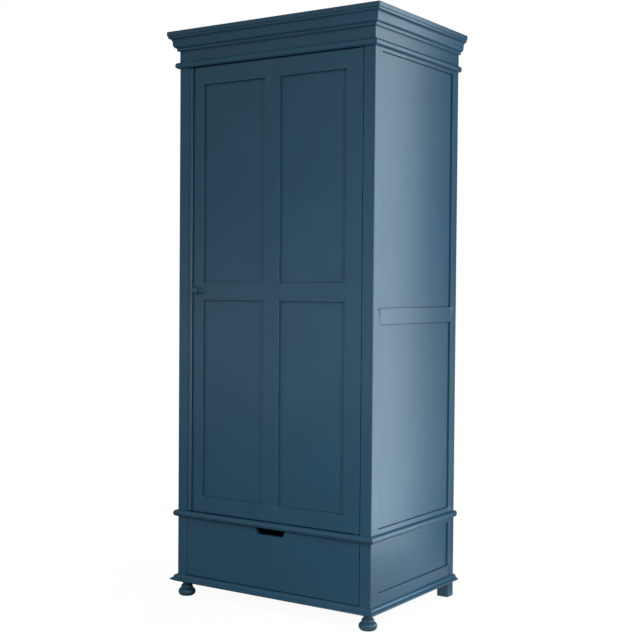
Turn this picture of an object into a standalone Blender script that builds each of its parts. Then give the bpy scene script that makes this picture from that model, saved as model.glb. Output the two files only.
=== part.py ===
"""A single painted wardrobe: a drawer base, a hanging space with one panelled door, and a cornice.

Metres, +Z up. The front faces -Y. The origin is on the floor, under the middle of the whole wardrobe.
Lengths that end in _X, _Y or _Z are places; the others are sizes.
"""
import math

import bmesh
import bpy
from mathutils import Matrix, Vector

# Clearances
GAP = 0.0003                    # between pieces that are glued, screwed or resting on each other
DOOR_GAP = 0.003                # over and under the door
HINGE_GAP = 0.0033              # between the door and the right post
CLOSING_GAP = 0.0008            # between the door's bead and the left post
DRAWER_LEFT_GAP = 0.001         # the drawer front sits nearer to the left post
DRAWER_RIGHT_GAP = 0.0036
DRAWER_TOP_GAP = 0.0018         # under the waist board
DRAWER_LOW_GAP = 0.002          # over the base moulding
SLIDE_CLEARANCE = 0.001         # between a drawer side and its guide
GLUE_OVERLAP = 0.001            # by which solids that are joined into one run into each other

# Carcase
CARCASE_WIDTH = 0.805
CARCASE_DEPTH = 0.574
POST_WIDTH = 0.042
FRONT_POST_DEPTH = 0.046
BACK_POST_DEPTH = 0.042
DOOR_STOP_WIDTH = 0.010
SIDE_THICKNESS = 0.022
SIDE_PANEL_RECESS = 0.0065
SIDE_PANEL_THICKNESS = 0.006
GROOVE_DEPTH = 0.006
BACK_PANEL_THICKNESS = 0.006
BACK_REBATE_WIDTH = 0.012

# Heights of the three units
FOOT_HEIGHT = 0.051
BASE_HEIGHT = 0.234
WAIST_THICKNESS = 0.0225
CARCASE_HEIGHT = 1.5645
HEAD_THICKNESS = 0.021
CORNICE_HEIGHT = 0.091
TOP_BOARD_THICKNESS = 0.016

# Side frames
BASE_LOWER_RAIL = 0.0633
BASE_UPPER_RAIL = 0.014
SIDE_TOP_RAIL = 0.0115
SIDE_BOTTOM_RAIL = 0.0165
SIDE_MIDDLE_RAIL = 0.053
SIDE_MIDDLE_RAIL_LIFT = 0.678

# Board noses and mouldings
BEAD_PROJECTION = 0.0128
BEAD_NOSE = 0.009
TOP_NOSE_PROJECTION = 0.0334
TOP_NOSE = 0.0025
CORNICE_THICKNESS = 0.018
FRIEZE_HEIGHT = 0.041
CORNICE_FILLET_PROJECTION = 0.0305
CORNICE_FILLET_HEIGHT = 0.0077
CORNICE_BELLY_PROJECTION = 0.019
CORNICE_COVE_HEIGHT = 0.014
CORNICE_BELLY_FLAT = 0.005
CORNICE_OVOLO_WIDTH = 0.011
CORNICE_OVOLO_HEIGHT = 0.0145
BASE_MOULDING_HEIGHT = 0.027
BASE_LIP_PROJECTION = 0.0205
BASE_LIP_THICKNESS = 0.009
BASE_LIP_HEIGHT = 0.009
BASE_LIP_ROUND = 0.008
BASE_OVOLO_WIDTH = 0.0105
BASE_OVOLO_HEIGHT = 0.0095
BASE_MOULDING_HEEL = 0.0055

# Front feet
FOOT_INSET = 0.0235
FOOT_BUN_RADIUS = 0.0308
FOOT_SOLE_RADIUS = 0.018
FOOT_BUN_HALF_HEIGHT = 0.0132
FOOT_RING_RADIUS = 0.0217
FOOT_RING_HEIGHT = 0.0095       # from its widest place to its top
FOOT_RING_LIFT = 0.0036         # from the bun's top to the ring's widest place
FOOT_NECK_RADIUS = 0.015
FOOT_NECK_ROUND = 0.0015

# Door
DOOR_THICKNESS = 0.022
DOOR_RECESS = 0.0015
DOOR_STILE = 0.0632
CLOSING_STILE = 0.0657
DOOR_TOP_RAIL = 0.061
DOOR_MIDDLE_RAIL = 0.063
DOOR_MIDDLE_RAIL_LIFT = 0.7495
DOOR_BOTTOM_RAIL = 0.056
DOOR_MUNTIN = 0.064
DOOR_PANEL_RECESS = 0.0085
DOOR_PANEL_THICKNESS = 0.007
STILE_BEAD_RADIUS = 0.0065
STILE_CHANNEL_WIDTH = 0.0135
STILE_CHANNEL_DEPTH = 0.0095

# Door fittings
PIVOT_INSET = 0.014
PIVOT_DEPTH = 0.0065
PIVOT_RADIUS = 0.0035
PIVOT_COLLAR_RADIUS = 0.0062
PIVOT_IN_DOOR = 0.025
PIVOT_IN_BOARD = 0.010
KNOB_LIFT = 0.7825
KNOB_PROJECTION = 0.030
KNOB_RADIUS = 0.0120
KNOB_BASE_RADIUS = 0.0126
KNOB_BASE_THICKNESS = 0.0035
KNOB_NECK_RADIUS = 0.0065
KNOB_NECK_LENGTH = 0.0105
KNOB_RIM_ROUND = 0.0031
KNOB_RIM_SHARE = 0.72           # of half the head's height
KNOB_CROWN_SHARE = 0.98         # of the head's radius
KNOB_SPIGOT_RADIUS = 0.004
KNOB_SPIGOT_LENGTH = 0.014

# Drawer
DRAWER_RECESS = 0.001
DRAWER_FRONT_THICKNESS = 0.020
DRAWER_SIDE_THICKNESS = 0.012
DRAWER_SIDE_HEIGHT = 0.150
DRAWER_SIDE_LIFT = 0.004
DRAWER_SIDE_INSET = 0.0009
DRAWER_BACK_THICKNESS = 0.012
DRAWER_BOTTOM_THICKNESS = 0.006
DRAWER_BOTTOM_LIFT = 0.008
DRAWER_GROOVE_DEPTH = 0.006
SLOT_TOP_WIDTH = 0.127
SLOT_BOTTOM_WIDTH = 0.109
SLOT_DEPTH = 0.0218
FRONT_RAIL_THICKNESS = 0.022
RUNNER_LEDGE_THICKNESS = 0.012
RUNNER_GUIDE_HEIGHT = 0.045
RUNNER_LEDGE_WIDTH = 0.015
RUNNER_STOP_HEIGHT = 0.012
RUNNER_STOP_LENGTH = 0.025
BASE_BACK_LIFT = 0.010

# Hanging space
BEARER_THICKNESS = 0.030
BEARER_HEIGHT = 0.070
HAT_SPACE = 0.194
RAIL_RADIUS = 0.0125
RAIL_LIFT = 0.030
RAIL_ENTRY = 0.015
SHELF_THICKNESS = 0.018

# Facets of the round shapes
FOOT_SIDES = 28
RAIL_SIDES = 24
KNOB_SIDES = 24
PIVOT_SIDES = 20
SPIGOT_SIDES = 16
NOSE_STEPS = 8
BEAD_STEPS = 8
BUN_STEPS = 8
RING_STEPS = 6
EDGE_STEPS = 3
OVOLO_STEPS = 6
LIP_STEPS = 6
COVE_STEPS = 5
RIM_STEPS = 5
CROWN_STEPS = 4
SHARP_ANGLE = 35

# Colours, linear
PAINT_BLUE = (0.030, 0.068, 0.110)
BARE_PINE = (0.55, 0.36, 0.19)
WAXED_BEECH = (0.50, 0.30, 0.15)
PLATED_STEEL = (0.55, 0.55, 0.56)

# Places worked out from the sizes
HALF_WIDTH = CARCASE_WIDTH / 2
FRONT_Y = -(CARCASE_DEPTH + TOP_NOSE_PROJECTION) / 2 + TOP_NOSE_PROJECTION
BACK_Y = FRONT_Y + CARCASE_DEPTH
OPENING_X = HALF_WIDTH - POST_WIDTH
SIDE_INNER_X = HALF_WIDTH - SIDE_THICKNESS
WAIST_Z = FOOT_HEIGHT + BASE_HEIGHT
CARCASE_Z = WAIST_Z + WAIST_THICKNESS
HEAD_Z = CARCASE_Z + CARCASE_HEIGHT
CORNICE_Z = HEAD_Z + HEAD_THICKNESS
TOP_BOARD_Z = CORNICE_Z + CORNICE_HEIGHT
SIDE_MIDDLE_RAIL_Z = CARCASE_Z + SIDE_MIDDLE_RAIL_LIFT
SIDE_FRONT_Y = FRONT_Y + FRONT_POST_DEPTH
SIDE_BACK_Y = BACK_Y - BACK_POST_DEPTH
DOOR_FACE_Y = FRONT_Y + DOOR_RECESS
DOOR_BACK_Y = DOOR_FACE_Y + DOOR_THICKNESS
DOOR_RIGHT_X = OPENING_X - HINGE_GAP
DOOR_LEFT_X = CLOSING_GAP - OPENING_X
DOOR_LOW_Z = CARCASE_Z + DOOR_GAP
DOOR_HIGH_Z = HEAD_Z - DOOR_GAP
DOOR_MIDDLE_RAIL_Z = CARCASE_Z + DOOR_MIDDLE_RAIL_LIFT
PIVOT_X = DOOR_RIGHT_X - PIVOT_INSET
PIVOT_Y = DOOR_FACE_Y + PIVOT_DEPTH
KNOB_X = DOOR_LEFT_X + (2 * STILE_BEAD_RADIUS + STILE_CHANNEL_WIDTH + CLOSING_STILE) / 2
KNOB_Z = CARCASE_Z + KNOB_LIFT
DRAWER_FACE_Y = FRONT_Y + DRAWER_RECESS
DRAWER_LEFT_X = DRAWER_LEFT_GAP - OPENING_X
DRAWER_RIGHT_X = OPENING_X - DRAWER_RIGHT_GAP
DRAWER_SIDE_X = min(-DRAWER_LEFT_X, DRAWER_RIGHT_X) - DRAWER_SIDE_INSET
DRAWER_FRONT_Z = FOOT_HEIGHT + BASE_MOULDING_HEIGHT + DRAWER_LOW_GAP
DRAWER_SIDE_Z = DRAWER_FRONT_Z + DRAWER_SIDE_LIFT
DRAWER_HIGH_Z = WAIST_Z - DRAWER_TOP_GAP
DRAWER_BOTTOM_Z = DRAWER_SIDE_Z + DRAWER_BOTTOM_LIFT
DRAWER_BACK_END_Y = SIDE_BACK_Y - RUNNER_STOP_LENGTH
BEARER_Z = HEAD_Z - HAT_SPACE - SHELF_THICKNESS - BEARER_HEIGHT
RAIL_Z = BEARER_Z + RAIL_LIFT

SIDES = (("left", -1), ("right", 1))


def paint(name, colour, roughness, metallic=0.0):
    material = bpy.data.materials.new(name)
    material.use_nodes = True
    shader = material.node_tree.nodes["Principled BSDF"]
    shader.inputs["Base Color"].default_value = (*colour, 1.0)
    shader.inputs["Roughness"].default_value = roughness
    shader.inputs["Metallic"].default_value = metallic
    return material


def add_object(name, mesh_builder, material):
    """Makes an object from a bmesh whose faces are turned to point out."""
    bmesh.ops.recalc_face_normals(mesh_builder, faces=mesh_builder.faces)
    mesh = bpy.data.meshes.new(name)
    mesh_builder.to_mesh(mesh)
    mesh_builder.free()
    mesh.materials.append(material)
    piece = bpy.data.objects.new(name, mesh)
    bpy.context.scene.collection.objects.link(piece)
    return piece


def add_prism(builder, outline, axis, start, end):
    """Extrudes an outline along one axis: (y, z) points for X, (x, z) for Y and (x, y) for Z."""
    place = {
        "X": lambda a, b, c: (c, a, b),
        "Y": lambda a, b, c: (a, c, b),
        "Z": lambda a, b, c: (a, b, c),
    }[axis]
    face = builder.faces.new([builder.verts.new(place(a, b, start)) for a, b in outline])
    extruded = bmesh.ops.extrude_face_region(builder, geom=[face])
    moved = [item for item in extruded["geom"] if isinstance(item, bmesh.types.BMVert)]
    bmesh.ops.translate(builder, verts=moved, vec=Vector(place(0, 0, end - start)))


def prism(name, outline, axis, start, end, material):
    builder = bmesh.new()
    add_prism(builder, outline, axis, start, end)
    return add_object(name, builder, material)


def rectangle(low_a, high_a, low_b, high_b):
    return [(low_a, low_b), (high_a, low_b), (high_a, high_b), (low_a, high_b)]


def board(name, x_range, y_range, z_range, material):
    return prism(name, rectangle(*x_range, *y_range), "Z", *z_range, material)


def arc(centre, radii, start, end, steps):
    """Points on an ellipse from one angle to another, in degrees."""
    points = []
    for step in range(steps + 1):
        angle = math.radians(start + (end - start) * step / steps)
        points.append((centre[0] + radii[0] * math.cos(angle), centre[1] + radii[1] * math.sin(angle)))
    return points


def turned(name, profile, place, direction, segments, material):
    """Turns (radius, height) points, which start and end off the axis, round a line along direction."""
    builder = bmesh.new()
    rings = []
    for radius, height in profile:
        ring = []
        for step in range(segments):
            angle = 2 * math.pi * step / segments
            ring.append(builder.verts.new((radius * math.cos(angle), radius * math.sin(angle), height)))
        rings.append(ring)
    builder.faces.new(rings[0])
    builder.faces.new(rings[-1])
    for lower, upper in zip(rings, rings[1:]):
        for step in range(segments):
            following = (step + 1) % segments
            builder.faces.new((lower[step], lower[following], upper[following], upper[step]))
    turn = Vector((0, 0, 1)).rotation_difference(Vector(direction)).to_matrix().to_4x4()
    bmesh.ops.transform(builder, matrix=Matrix.Translation(place) @ turn, verts=builder.verts)
    piece = add_object(name, builder, material)
    piece.data.shade_smooth()
    piece.data.set_sharp_from_angle(angle=math.radians(SHARP_ANGLE))
    return piece


def combine(piece, other, operation):
    """Cuts another solid out of a piece, or glues it on, and hides the other solid."""
    other.hide_render = True
    other.display_type = "WIRE"
    modifier = piece.modifiers.new(operation.lower(), "BOOLEAN")
    modifier.operation = operation
    modifier.object = other


def cut(piece, cutter):
    combine(piece, cutter, "DIFFERENCE")


def glue(piece, other):
    combine(piece, other, "UNION")


def framed(thickness, low, high, recess, panel, groove_low=False, groove_high=False, front=None, back=None):
    """Cross-section of a frame member as (depth from its face, place across it) points.

    A groove for a panel can run along its low edge, its high edge or both. front replaces the points
    from high to low along the face, and back those from low to high along the inside.
    """
    near = recess - GAP
    far = recess + panel + GAP
    points = list(front or [(0, high), (0, low)])
    if groove_low:
        points += [(near, low), (near, low + GROOVE_DEPTH), (far, low + GROOVE_DEPTH), (far, low)]
    points += list(back or [(thickness, low), (thickness, high)])
    if groove_high:
        points += [(far, high), (far, high - GROOVE_DEPTH), (near, high - GROOVE_DEPTH), (near, high)]
    return points


def side_outline(side, points):
    """Turns depths from a side's outer face into X places."""
    return [(side * (HALF_WIDTH - depth), across) for depth, across in points]


def door_outline_upright(points):
    """A stile's or muntin's section: X across, Y in depth."""
    return [(across, DOOR_FACE_Y + depth) for depth, across in points]


def door_outline_level(points):
    """A door rail's section: Y in depth, Z across."""
    return [(DOOR_FACE_Y + depth, across) for depth, across in points]


def nose(low_z, thickness, projection, depth):
    """The half-round edge of a board, as (projection, height) points."""
    half = thickness / 2
    return arc((projection - depth, low_z + half), (depth, half), -90, 90, NOSE_STEPS)


def eased_edge(low_z, thickness, projection, radius):
    """A flat edge of a board whose arrises are rounded, as (projection, height) points."""
    points = arc((projection - radius, low_z + radius), (radius, radius), -90, 0, EDGE_STEPS)
    points += arc((projection - radius, low_z + thickness - radius), (radius, radius), 0, 90, EDGE_STEPS)
    return points


def edged_board(name, edge, material):
    """A board over the whole carcase whose front and side edges share a shape and meet at sharp corners."""
    builder = bmesh.new()
    rings = []
    for out, height in edge:
        outer_x = HALF_WIDTH + out
        outline = rectangle(-outer_x, outer_x, FRONT_Y - out, BACK_Y)
        rings.append([builder.verts.new((x, y, height)) for x, y in outline])
    builder.faces.new(rings[0])
    builder.faces.new(rings[-1])
    for lower, upper in zip(rings, rings[1:]):
        for step in range(len(lower)):
            following = (step + 1) % len(lower)
            builder.faces.new((lower[step], lower[following], upper[following], upper[step]))
    return add_object(name, builder, material)


def mitred_bar(name, section, direction, material):
    """A moulding along the front or a side, from (projection, height) points, with mitred front ends."""
    builder = bmesh.new()
    starts = []
    ends = []
    for out, height in section:
        if direction == "front":
            corner_x = HALF_WIDTH + out - GAP
            starts.append(builder.verts.new((-corner_x, FRONT_Y - out, height)))
            ends.append(builder.verts.new((corner_x, FRONT_Y - out, height)))
        else:
            outer_x = direction * (HALF_WIDTH + out)
            starts.append(builder.verts.new((outer_x, FRONT_Y - out + GAP, height)))
            ends.append(builder.verts.new((outer_x, BACK_Y, height)))
    builder.faces.new(starts)
    builder.faces.new(ends)
    for step in range(len(section)):
        following = (step + 1) % len(section)
        builder.faces.new((starts[step], starts[following], ends[following], ends[step]))
    return add_object(name, builder, material)


def make_feet(blue):
    """Two turned feet: a flat bun, a smaller ring over a crease, and a straight neck."""
    bun_z = FOOT_BUN_HALF_HEIGHT
    bun_width = FOOT_BUN_RADIUS - FOOT_SOLE_RADIUS
    bun_top_angle = 71
    ring_z = 2 * bun_z + FOOT_RING_LIFT
    ring_width = FOOT_RING_RADIUS - FOOT_NECK_RADIUS
    ring_angles = (-25, 78)
    profile = arc((FOOT_SOLE_RADIUS, bun_z), (bun_width, bun_z), -90, bun_top_angle, BUN_STEPS)
    profile += arc((FOOT_NECK_RADIUS, ring_z), (ring_width, FOOT_RING_HEIGHT), *ring_angles, RING_STEPS)
    profile.append((FOOT_NECK_RADIUS, ring_z + FOOT_RING_HEIGHT + FOOT_NECK_ROUND))
    profile.append((FOOT_NECK_RADIUS, FOOT_HEIGHT))
    for word, side in SIDES:
        place = (side * (HALF_WIDTH - FOOT_INSET), FRONT_Y + FOOT_INSET, 0)
        turned(f"foot_front_{word}", profile, place, (0, 0, 1), FOOT_SIDES, blue)


def make_base(blue, pine):
    low_z = FOOT_HEIGHT + GAP
    high_z = WAIST_Z - GAP
    lower_rail_z = FOOT_HEIGHT + BASE_LOWER_RAIL
    upper_rail_z = WAIST_Z - BASE_UPPER_RAIL
    rail_y = (SIDE_FRONT_Y + GAP, SIDE_BACK_Y - GAP)
    groove = (SIDE_PANEL_RECESS, SIDE_PANEL_THICKNESS)
    for word, side in SIDES:
        front = framed(POST_WIDTH, FRONT_Y, SIDE_FRONT_Y, *groove, groove_high=True)
        prism(f"base_post_front_{word}", side_outline(side, front), "Z", low_z, high_z, blue)
        make_back_leg(word, side, blue)
        lower = framed(SIDE_THICKNESS, low_z, lower_rail_z, *groove, groove_high=True)
        prism(f"base_side_rail_lower_{word}", side_outline(side, lower), "Y", *rail_y, blue)
        upper = framed(SIDE_THICKNESS, upper_rail_z, high_z, *groove, groove_low=True)
        prism(f"base_side_rail_upper_{word}", side_outline(side, upper), "Y", *rail_y, blue)
        make_side_panel(f"base_side_panel_{word}", side, lower_rail_z, upper_rail_z, blue)
    back_x = OPENING_X + BACK_REBATE_WIDTH - GAP
    board("base_back_panel", (-back_x, back_x), (BACK_Y - BACK_PANEL_THICKNESS, BACK_Y),
          (FOOT_HEIGHT + BASE_BACK_LIFT + GAP, high_z), pine)
    edged_board("waist_board", nose(WAIST_Z, WAIST_THICKNESS, BEAD_PROJECTION, BEAD_NOSE), blue)


def make_back_leg(word, side, blue):
    """A back post of the base, which is also the back leg: plain below the base, grooved above it."""
    name = f"base_post_back_{word}"
    outer = side * HALF_WIDTH
    inner = side * OPENING_X
    post = board(name, sorted((outer, inner)), (SIDE_BACK_Y, BACK_Y), (0, WAIST_Z - GAP), blue)
    near = side * (HALF_WIDTH - SIDE_PANEL_RECESS + GAP)
    far = side * (HALF_WIDTH - SIDE_PANEL_RECESS - SIDE_PANEL_THICKNESS - GAP)
    groove = board(f"cut_groove_{word}", sorted((near, far)), (SIDE_BACK_Y - GROOVE_DEPTH,
                   SIDE_BACK_Y + GROOVE_DEPTH), (FOOT_HEIGHT + GROOVE_DEPTH, WAIST_Z + GROOVE_DEPTH), blue)
    rebate = board(f"cut_rebate_{word}", sorted((side * (OPENING_X + BACK_REBATE_WIDTH), 0)),
                   (BACK_Y - BACK_PANEL_THICKNESS - GAP, BACK_Y + BACK_PANEL_THICKNESS),
                   (FOOT_HEIGHT + BASE_BACK_LIFT, WAIST_Z + GROOVE_DEPTH), blue)
    cut(post, groove)
    cut(post, rebate)


def make_side_panel(name, side, low_z, high_z, blue):
    """A thin panel whose edges sit in the grooves round it."""
    tongue = GROOVE_DEPTH - GAP
    near = side * (HALF_WIDTH - SIDE_PANEL_RECESS)
    far = side * (HALF_WIDTH - SIDE_PANEL_RECESS - SIDE_PANEL_THICKNESS)
    board(name, sorted((near, far)), (SIDE_FRONT_Y - tongue, SIDE_BACK_Y + tongue),
          (low_z - tongue, high_z + tongue), blue)


def make_base_mouldings(blue):
    low_z = FOOT_HEIGHT + GAP
    lip_z = low_z + BASE_LIP_HEIGHT
    ovolo_z = low_z + BASE_MOULDING_HEIGHT - BASE_OVOLO_HEIGHT - 2 * GAP
    section = [(GAP, low_z), (GAP, ovolo_z + BASE_OVOLO_HEIGHT)]
    section += arc((2 * GAP, ovolo_z), (BASE_OVOLO_WIDTH, BASE_OVOLO_HEIGHT), 90, 0, OVOLO_STEPS)
    lip_centre = (BASE_LIP_PROJECTION - BASE_LIP_ROUND, lip_z)
    lip_angles = (70, -60)
    section += arc(lip_centre, (BASE_LIP_ROUND, BASE_LIP_THICKNESS / 2), *lip_angles, LIP_STEPS)
    section.append((BASE_MOULDING_HEEL, low_z))
    front = mitred_bar("base_moulding_front", section, "front", blue)
    rail_x = OPENING_X - GAP
    rail = board("glue_front_rail", (-rail_x, rail_x), (FRONT_Y - GLUE_OVERLAP, FRONT_Y + FRONT_RAIL_THICKNESS),
                 (low_z + GAP, FOOT_HEIGHT + BASE_MOULDING_HEIGHT - GLUE_OVERLAP), blue)
    glue(front, rail)
    for word, side in SIDES:
        mitred_bar(f"base_moulding_{word}", section, side, blue)


def make_runners(pine):
    """Ledges that the drawer sides slide on, each with a guide beside it and a stop behind it."""
    ledge_z = DRAWER_SIDE_Z - GAP
    guide_x = DRAWER_SIDE_X + SLIDE_CLEARANCE
    back_y = SIDE_BACK_Y - GAP
    for word, side in SIDES:
        outline = [
            (side * (SIDE_INNER_X - GAP), ledge_z - RUNNER_LEDGE_THICKNESS),
            (side * (SIDE_INNER_X - GAP), ledge_z + RUNNER_GUIDE_HEIGHT),
            (side * guide_x, ledge_z + RUNNER_GUIDE_HEIGHT),
            (side * guide_x, ledge_z),
            (side * (guide_x - RUNNER_LEDGE_WIDTH), ledge_z),
            (side * (guide_x - RUNNER_LEDGE_WIDTH), ledge_z - RUNNER_LEDGE_THICKNESS),
        ]
        runner = prism(f"drawer_runner_{word}", outline, "Y", SIDE_FRONT_Y + GAP, back_y, pine)
        stop_x = sorted((side * (guide_x + GLUE_OVERLAP), side * (guide_x - RUNNER_LEDGE_WIDTH)))
        stop = board(f"glue_drawer_stop_{word}", stop_x, (DRAWER_BACK_END_Y + GAP, back_y),
                     (ledge_z - GLUE_OVERLAP, ledge_z + RUNNER_STOP_HEIGHT), pine)
        glue(runner, stop)


def make_drawer(blue, pine):
    top_z = DRAWER_HIGH_Z
    slot_z = top_z - SLOT_DEPTH
    front_outline = [
        (DRAWER_LEFT_X, DRAWER_FRONT_Z), (DRAWER_RIGHT_X, DRAWER_FRONT_Z), (DRAWER_RIGHT_X, top_z),
        (SLOT_TOP_WIDTH / 2, top_z), (SLOT_BOTTOM_WIDTH / 2, slot_z),
        (-SLOT_BOTTOM_WIDTH / 2, slot_z), (-SLOT_TOP_WIDTH / 2, top_z), (DRAWER_LEFT_X, top_z),
    ]
    front_back_y = DRAWER_FACE_Y + DRAWER_FRONT_THICKNESS
    front = prism("drawer_front", front_outline, "Y", DRAWER_FACE_Y, front_back_y, blue)
    inner_x = DRAWER_SIDE_X - DRAWER_SIDE_THICKNESS
    tongue = DRAWER_GROOVE_DEPTH - GAP
    groove_z = (DRAWER_BOTTOM_Z - GAP, DRAWER_BOTTOM_Z + DRAWER_BOTTOM_THICKNESS + GAP)
    groove = board("cut_drawer_groove", (-inner_x - DRAWER_GROOVE_DEPTH, inner_x + DRAWER_GROOVE_DEPTH),
                   (front_back_y - DRAWER_GROOVE_DEPTH, front_back_y + DRAWER_GROOVE_DEPTH), groove_z, blue)
    cut(front, groove)
    for word, side in SIDES:
        outline = [
            (side * DRAWER_SIDE_X, DRAWER_SIDE_Z),
            (side * DRAWER_SIDE_X, DRAWER_SIDE_Z + DRAWER_SIDE_HEIGHT),
            (side * inner_x, DRAWER_SIDE_Z + DRAWER_SIDE_HEIGHT),
            (side * inner_x, groove_z[1]),
            (side * (inner_x + DRAWER_GROOVE_DEPTH), groove_z[1]),
            (side * (inner_x + DRAWER_GROOVE_DEPTH), groove_z[0]),
            (side * inner_x, groove_z[0]),
            (side * inner_x, DRAWER_SIDE_Z),
        ]
        prism(f"drawer_side_{word}", outline, "Y", front_back_y + GAP, DRAWER_BACK_END_Y, pine)
    back_x = inner_x - GAP
    board("drawer_back", (-back_x, back_x), (DRAWER_BACK_END_Y - DRAWER_BACK_THICKNESS, DRAWER_BACK_END_Y),
          (groove_z[1], DRAWER_SIDE_Z + DRAWER_SIDE_HEIGHT), pine)
    board("drawer_bottom", (-inner_x - tongue, inner_x + tongue), (front_back_y - tongue, DRAWER_BACK_END_Y),
          (DRAWER_BOTTOM_Z, DRAWER_BOTTOM_Z + DRAWER_BOTTOM_THICKNESS), pine)


def make_carcase(blue, pine):
    z_range = (CARCASE_Z + GAP, HEAD_Z - GAP)
    rail_y = (SIDE_FRONT_Y + GAP, SIDE_BACK_Y - GAP)
    groove = (SIDE_PANEL_RECESS, SIDE_PANEL_THICKNESS)
    bottom_rail_z = CARCASE_Z + SIDE_BOTTOM_RAIL
    top_rail_z = HEAD_Z - SIDE_TOP_RAIL
    middle_high_z = SIDE_MIDDLE_RAIL_Z + SIDE_MIDDLE_RAIL
    for word, side in SIDES:
        make_front_post(word, side, z_range, blue)
        rebate_y = BACK_Y - BACK_PANEL_THICKNESS - GAP
        rebate_depth = POST_WIDTH - BACK_REBATE_WIDTH
        inside = [(POST_WIDTH, SIDE_BACK_Y), (POST_WIDTH, rebate_y), (rebate_depth, rebate_y),
                  (rebate_depth, BACK_Y)]
        back = framed(POST_WIDTH, SIDE_BACK_Y, BACK_Y, *groove, groove_low=True, back=inside)
        prism(f"post_back_{word}", side_outline(side, back), "Z", *z_range, blue)
        bottom = framed(SIDE_THICKNESS, z_range[0], bottom_rail_z, *groove, groove_high=True)
        prism(f"side_rail_bottom_{word}", side_outline(side, bottom), "Y", *rail_y, blue)
        top = framed(SIDE_THICKNESS, top_rail_z, z_range[1], *groove, groove_low=True)
        prism(f"side_rail_top_{word}", side_outline(side, top), "Y", *rail_y, blue)
        middle = framed(SIDE_THICKNESS, SIDE_MIDDLE_RAIL_Z, middle_high_z, *groove, True, True)
        prism(f"side_rail_middle_{word}", side_outline(side, middle), "Y", *rail_y, blue)
        make_side_panel(f"side_panel_lower_{word}", side, bottom_rail_z, SIDE_MIDDLE_RAIL_Z, blue)
        make_side_panel(f"side_panel_upper_{word}", side, middle_high_z, top_rail_z, blue)
    back_x = OPENING_X + BACK_REBATE_WIDTH - GAP
    board("back_panel", (-back_x, back_x), (BACK_Y - BACK_PANEL_THICKNESS, BACK_Y), z_range, pine)
    edged_board("head_board", nose(HEAD_Z, HEAD_THICKNESS, BEAD_PROJECTION, BEAD_NOSE), blue)


def make_front_post(word, side, z_range, blue):
    """The left post is wider behind the door, so that the door closes against it."""
    inside = None
    if side < 0:
        stop_y = DOOR_BACK_Y + GAP
        stop_depth = POST_WIDTH + DOOR_STOP_WIDTH
        inside = [(POST_WIDTH, FRONT_Y), (POST_WIDTH, stop_y), (stop_depth, stop_y), (stop_depth, SIDE_FRONT_Y)]
    points = framed(POST_WIDTH, FRONT_Y, SIDE_FRONT_Y, SIDE_PANEL_RECESS, SIDE_PANEL_THICKNESS,
                    groove_high=True, back=inside)
    prism(f"post_front_{word}", side_outline(side, points), "Z", *z_range, blue)


def make_hanging_space(pine, beech):
    """A hat shelf whose glued end bearers sit between the posts and carry the hanging rail."""
    outer_x = SIDE_INNER_X - GAP
    inner_x = outer_x - BEARER_THICKNESS
    bearer_high_z = BEARER_Z + BEARER_HEIGHT
    shelf_high_z = bearer_high_z + SHELF_THICKNESS
    outline = [
        (-outer_x, BEARER_Z), (-inner_x, BEARER_Z), (-inner_x, bearer_high_z), (inner_x, bearer_high_z),
        (inner_x, BEARER_Z), (outer_x, BEARER_Z), (outer_x, shelf_high_z), (-outer_x, shelf_high_z),
    ]
    shelf = prism("hat_shelf", outline, "Y", SIDE_FRONT_Y + GAP, SIDE_BACK_Y - GAP, pine)
    place = (0, (SIDE_FRONT_Y + SIDE_BACK_Y) / 2, RAIL_Z)
    rail_end = inner_x + RAIL_ENTRY
    hole_end = rail_end + GAP
    hole_radius = RAIL_RADIUS + GAP
    hole = turned("cut_rail_hole", [(hole_radius, -hole_end), (hole_radius, hole_end)], place, (1, 0, 0),
                  RAIL_SIDES, pine)
    cut(shelf, hole)
    turned("hanging_rail", [(RAIL_RADIUS, -rail_end), (RAIL_RADIUS, rail_end)], place, (1, 0, 0),
           RAIL_SIDES, beech)


def make_cornice(blue):
    low_z = CORNICE_Z + GAP
    high_z = TOP_BOARD_Z - GAP
    frieze_z = CORNICE_Z + FRIEZE_HEIGHT
    fillet_z = TOP_BOARD_Z - CORNICE_FILLET_HEIGHT
    belly_z = fillet_z - CORNICE_COVE_HEIGHT
    ovolo_z = belly_z - CORNICE_BELLY_FLAT
    ovolo_foot = CORNICE_BELLY_PROJECTION - CORNICE_OVOLO_WIDTH
    cove_width = CORNICE_FILLET_PROJECTION - CORNICE_BELLY_PROJECTION
    cove_radius = (cove_width ** 2 + CORNICE_COVE_HEIGHT ** 2) / (2 * cove_width)
    cove_centre = (CORNICE_BELLY_PROJECTION + cove_radius, belly_z)
    cove_angle = math.degrees(math.asin(CORNICE_COVE_HEIGHT / cove_radius))
    section = [(-CORNICE_THICKNESS, high_z), (-CORNICE_THICKNESS, low_z), (0, low_z), (0, frieze_z)]
    section.append((ovolo_foot, frieze_z))
    section += arc((ovolo_foot, ovolo_z), (CORNICE_OVOLO_WIDTH, CORNICE_OVOLO_HEIGHT), -90, 0, OVOLO_STEPS)
    section += arc(cove_centre, (cove_radius, cove_radius), 180, 180 - cove_angle, COVE_STEPS)
    section.append((CORNICE_FILLET_PROJECTION, high_z))
    mitred_bar("cornice_front", section, "front", blue)
    for word, side in SIDES:
        mitred_bar(f"cornice_{word}", section, side, blue)
    back_x = HALF_WIDTH - CORNICE_THICKNESS - GAP
    back_rail = board("glue_cornice_back", (-back_x, back_x), (BACK_Y - CORNICE_THICKNESS, BACK_Y),
                      (low_z, TOP_BOARD_Z + GLUE_OVERLAP), blue)
    edge = eased_edge(TOP_BOARD_Z, TOP_BOARD_THICKNESS, TOP_NOSE_PROJECTION, TOP_NOSE)
    top = edged_board("top_board", edge, blue)
    glue(top, back_rail)


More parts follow.
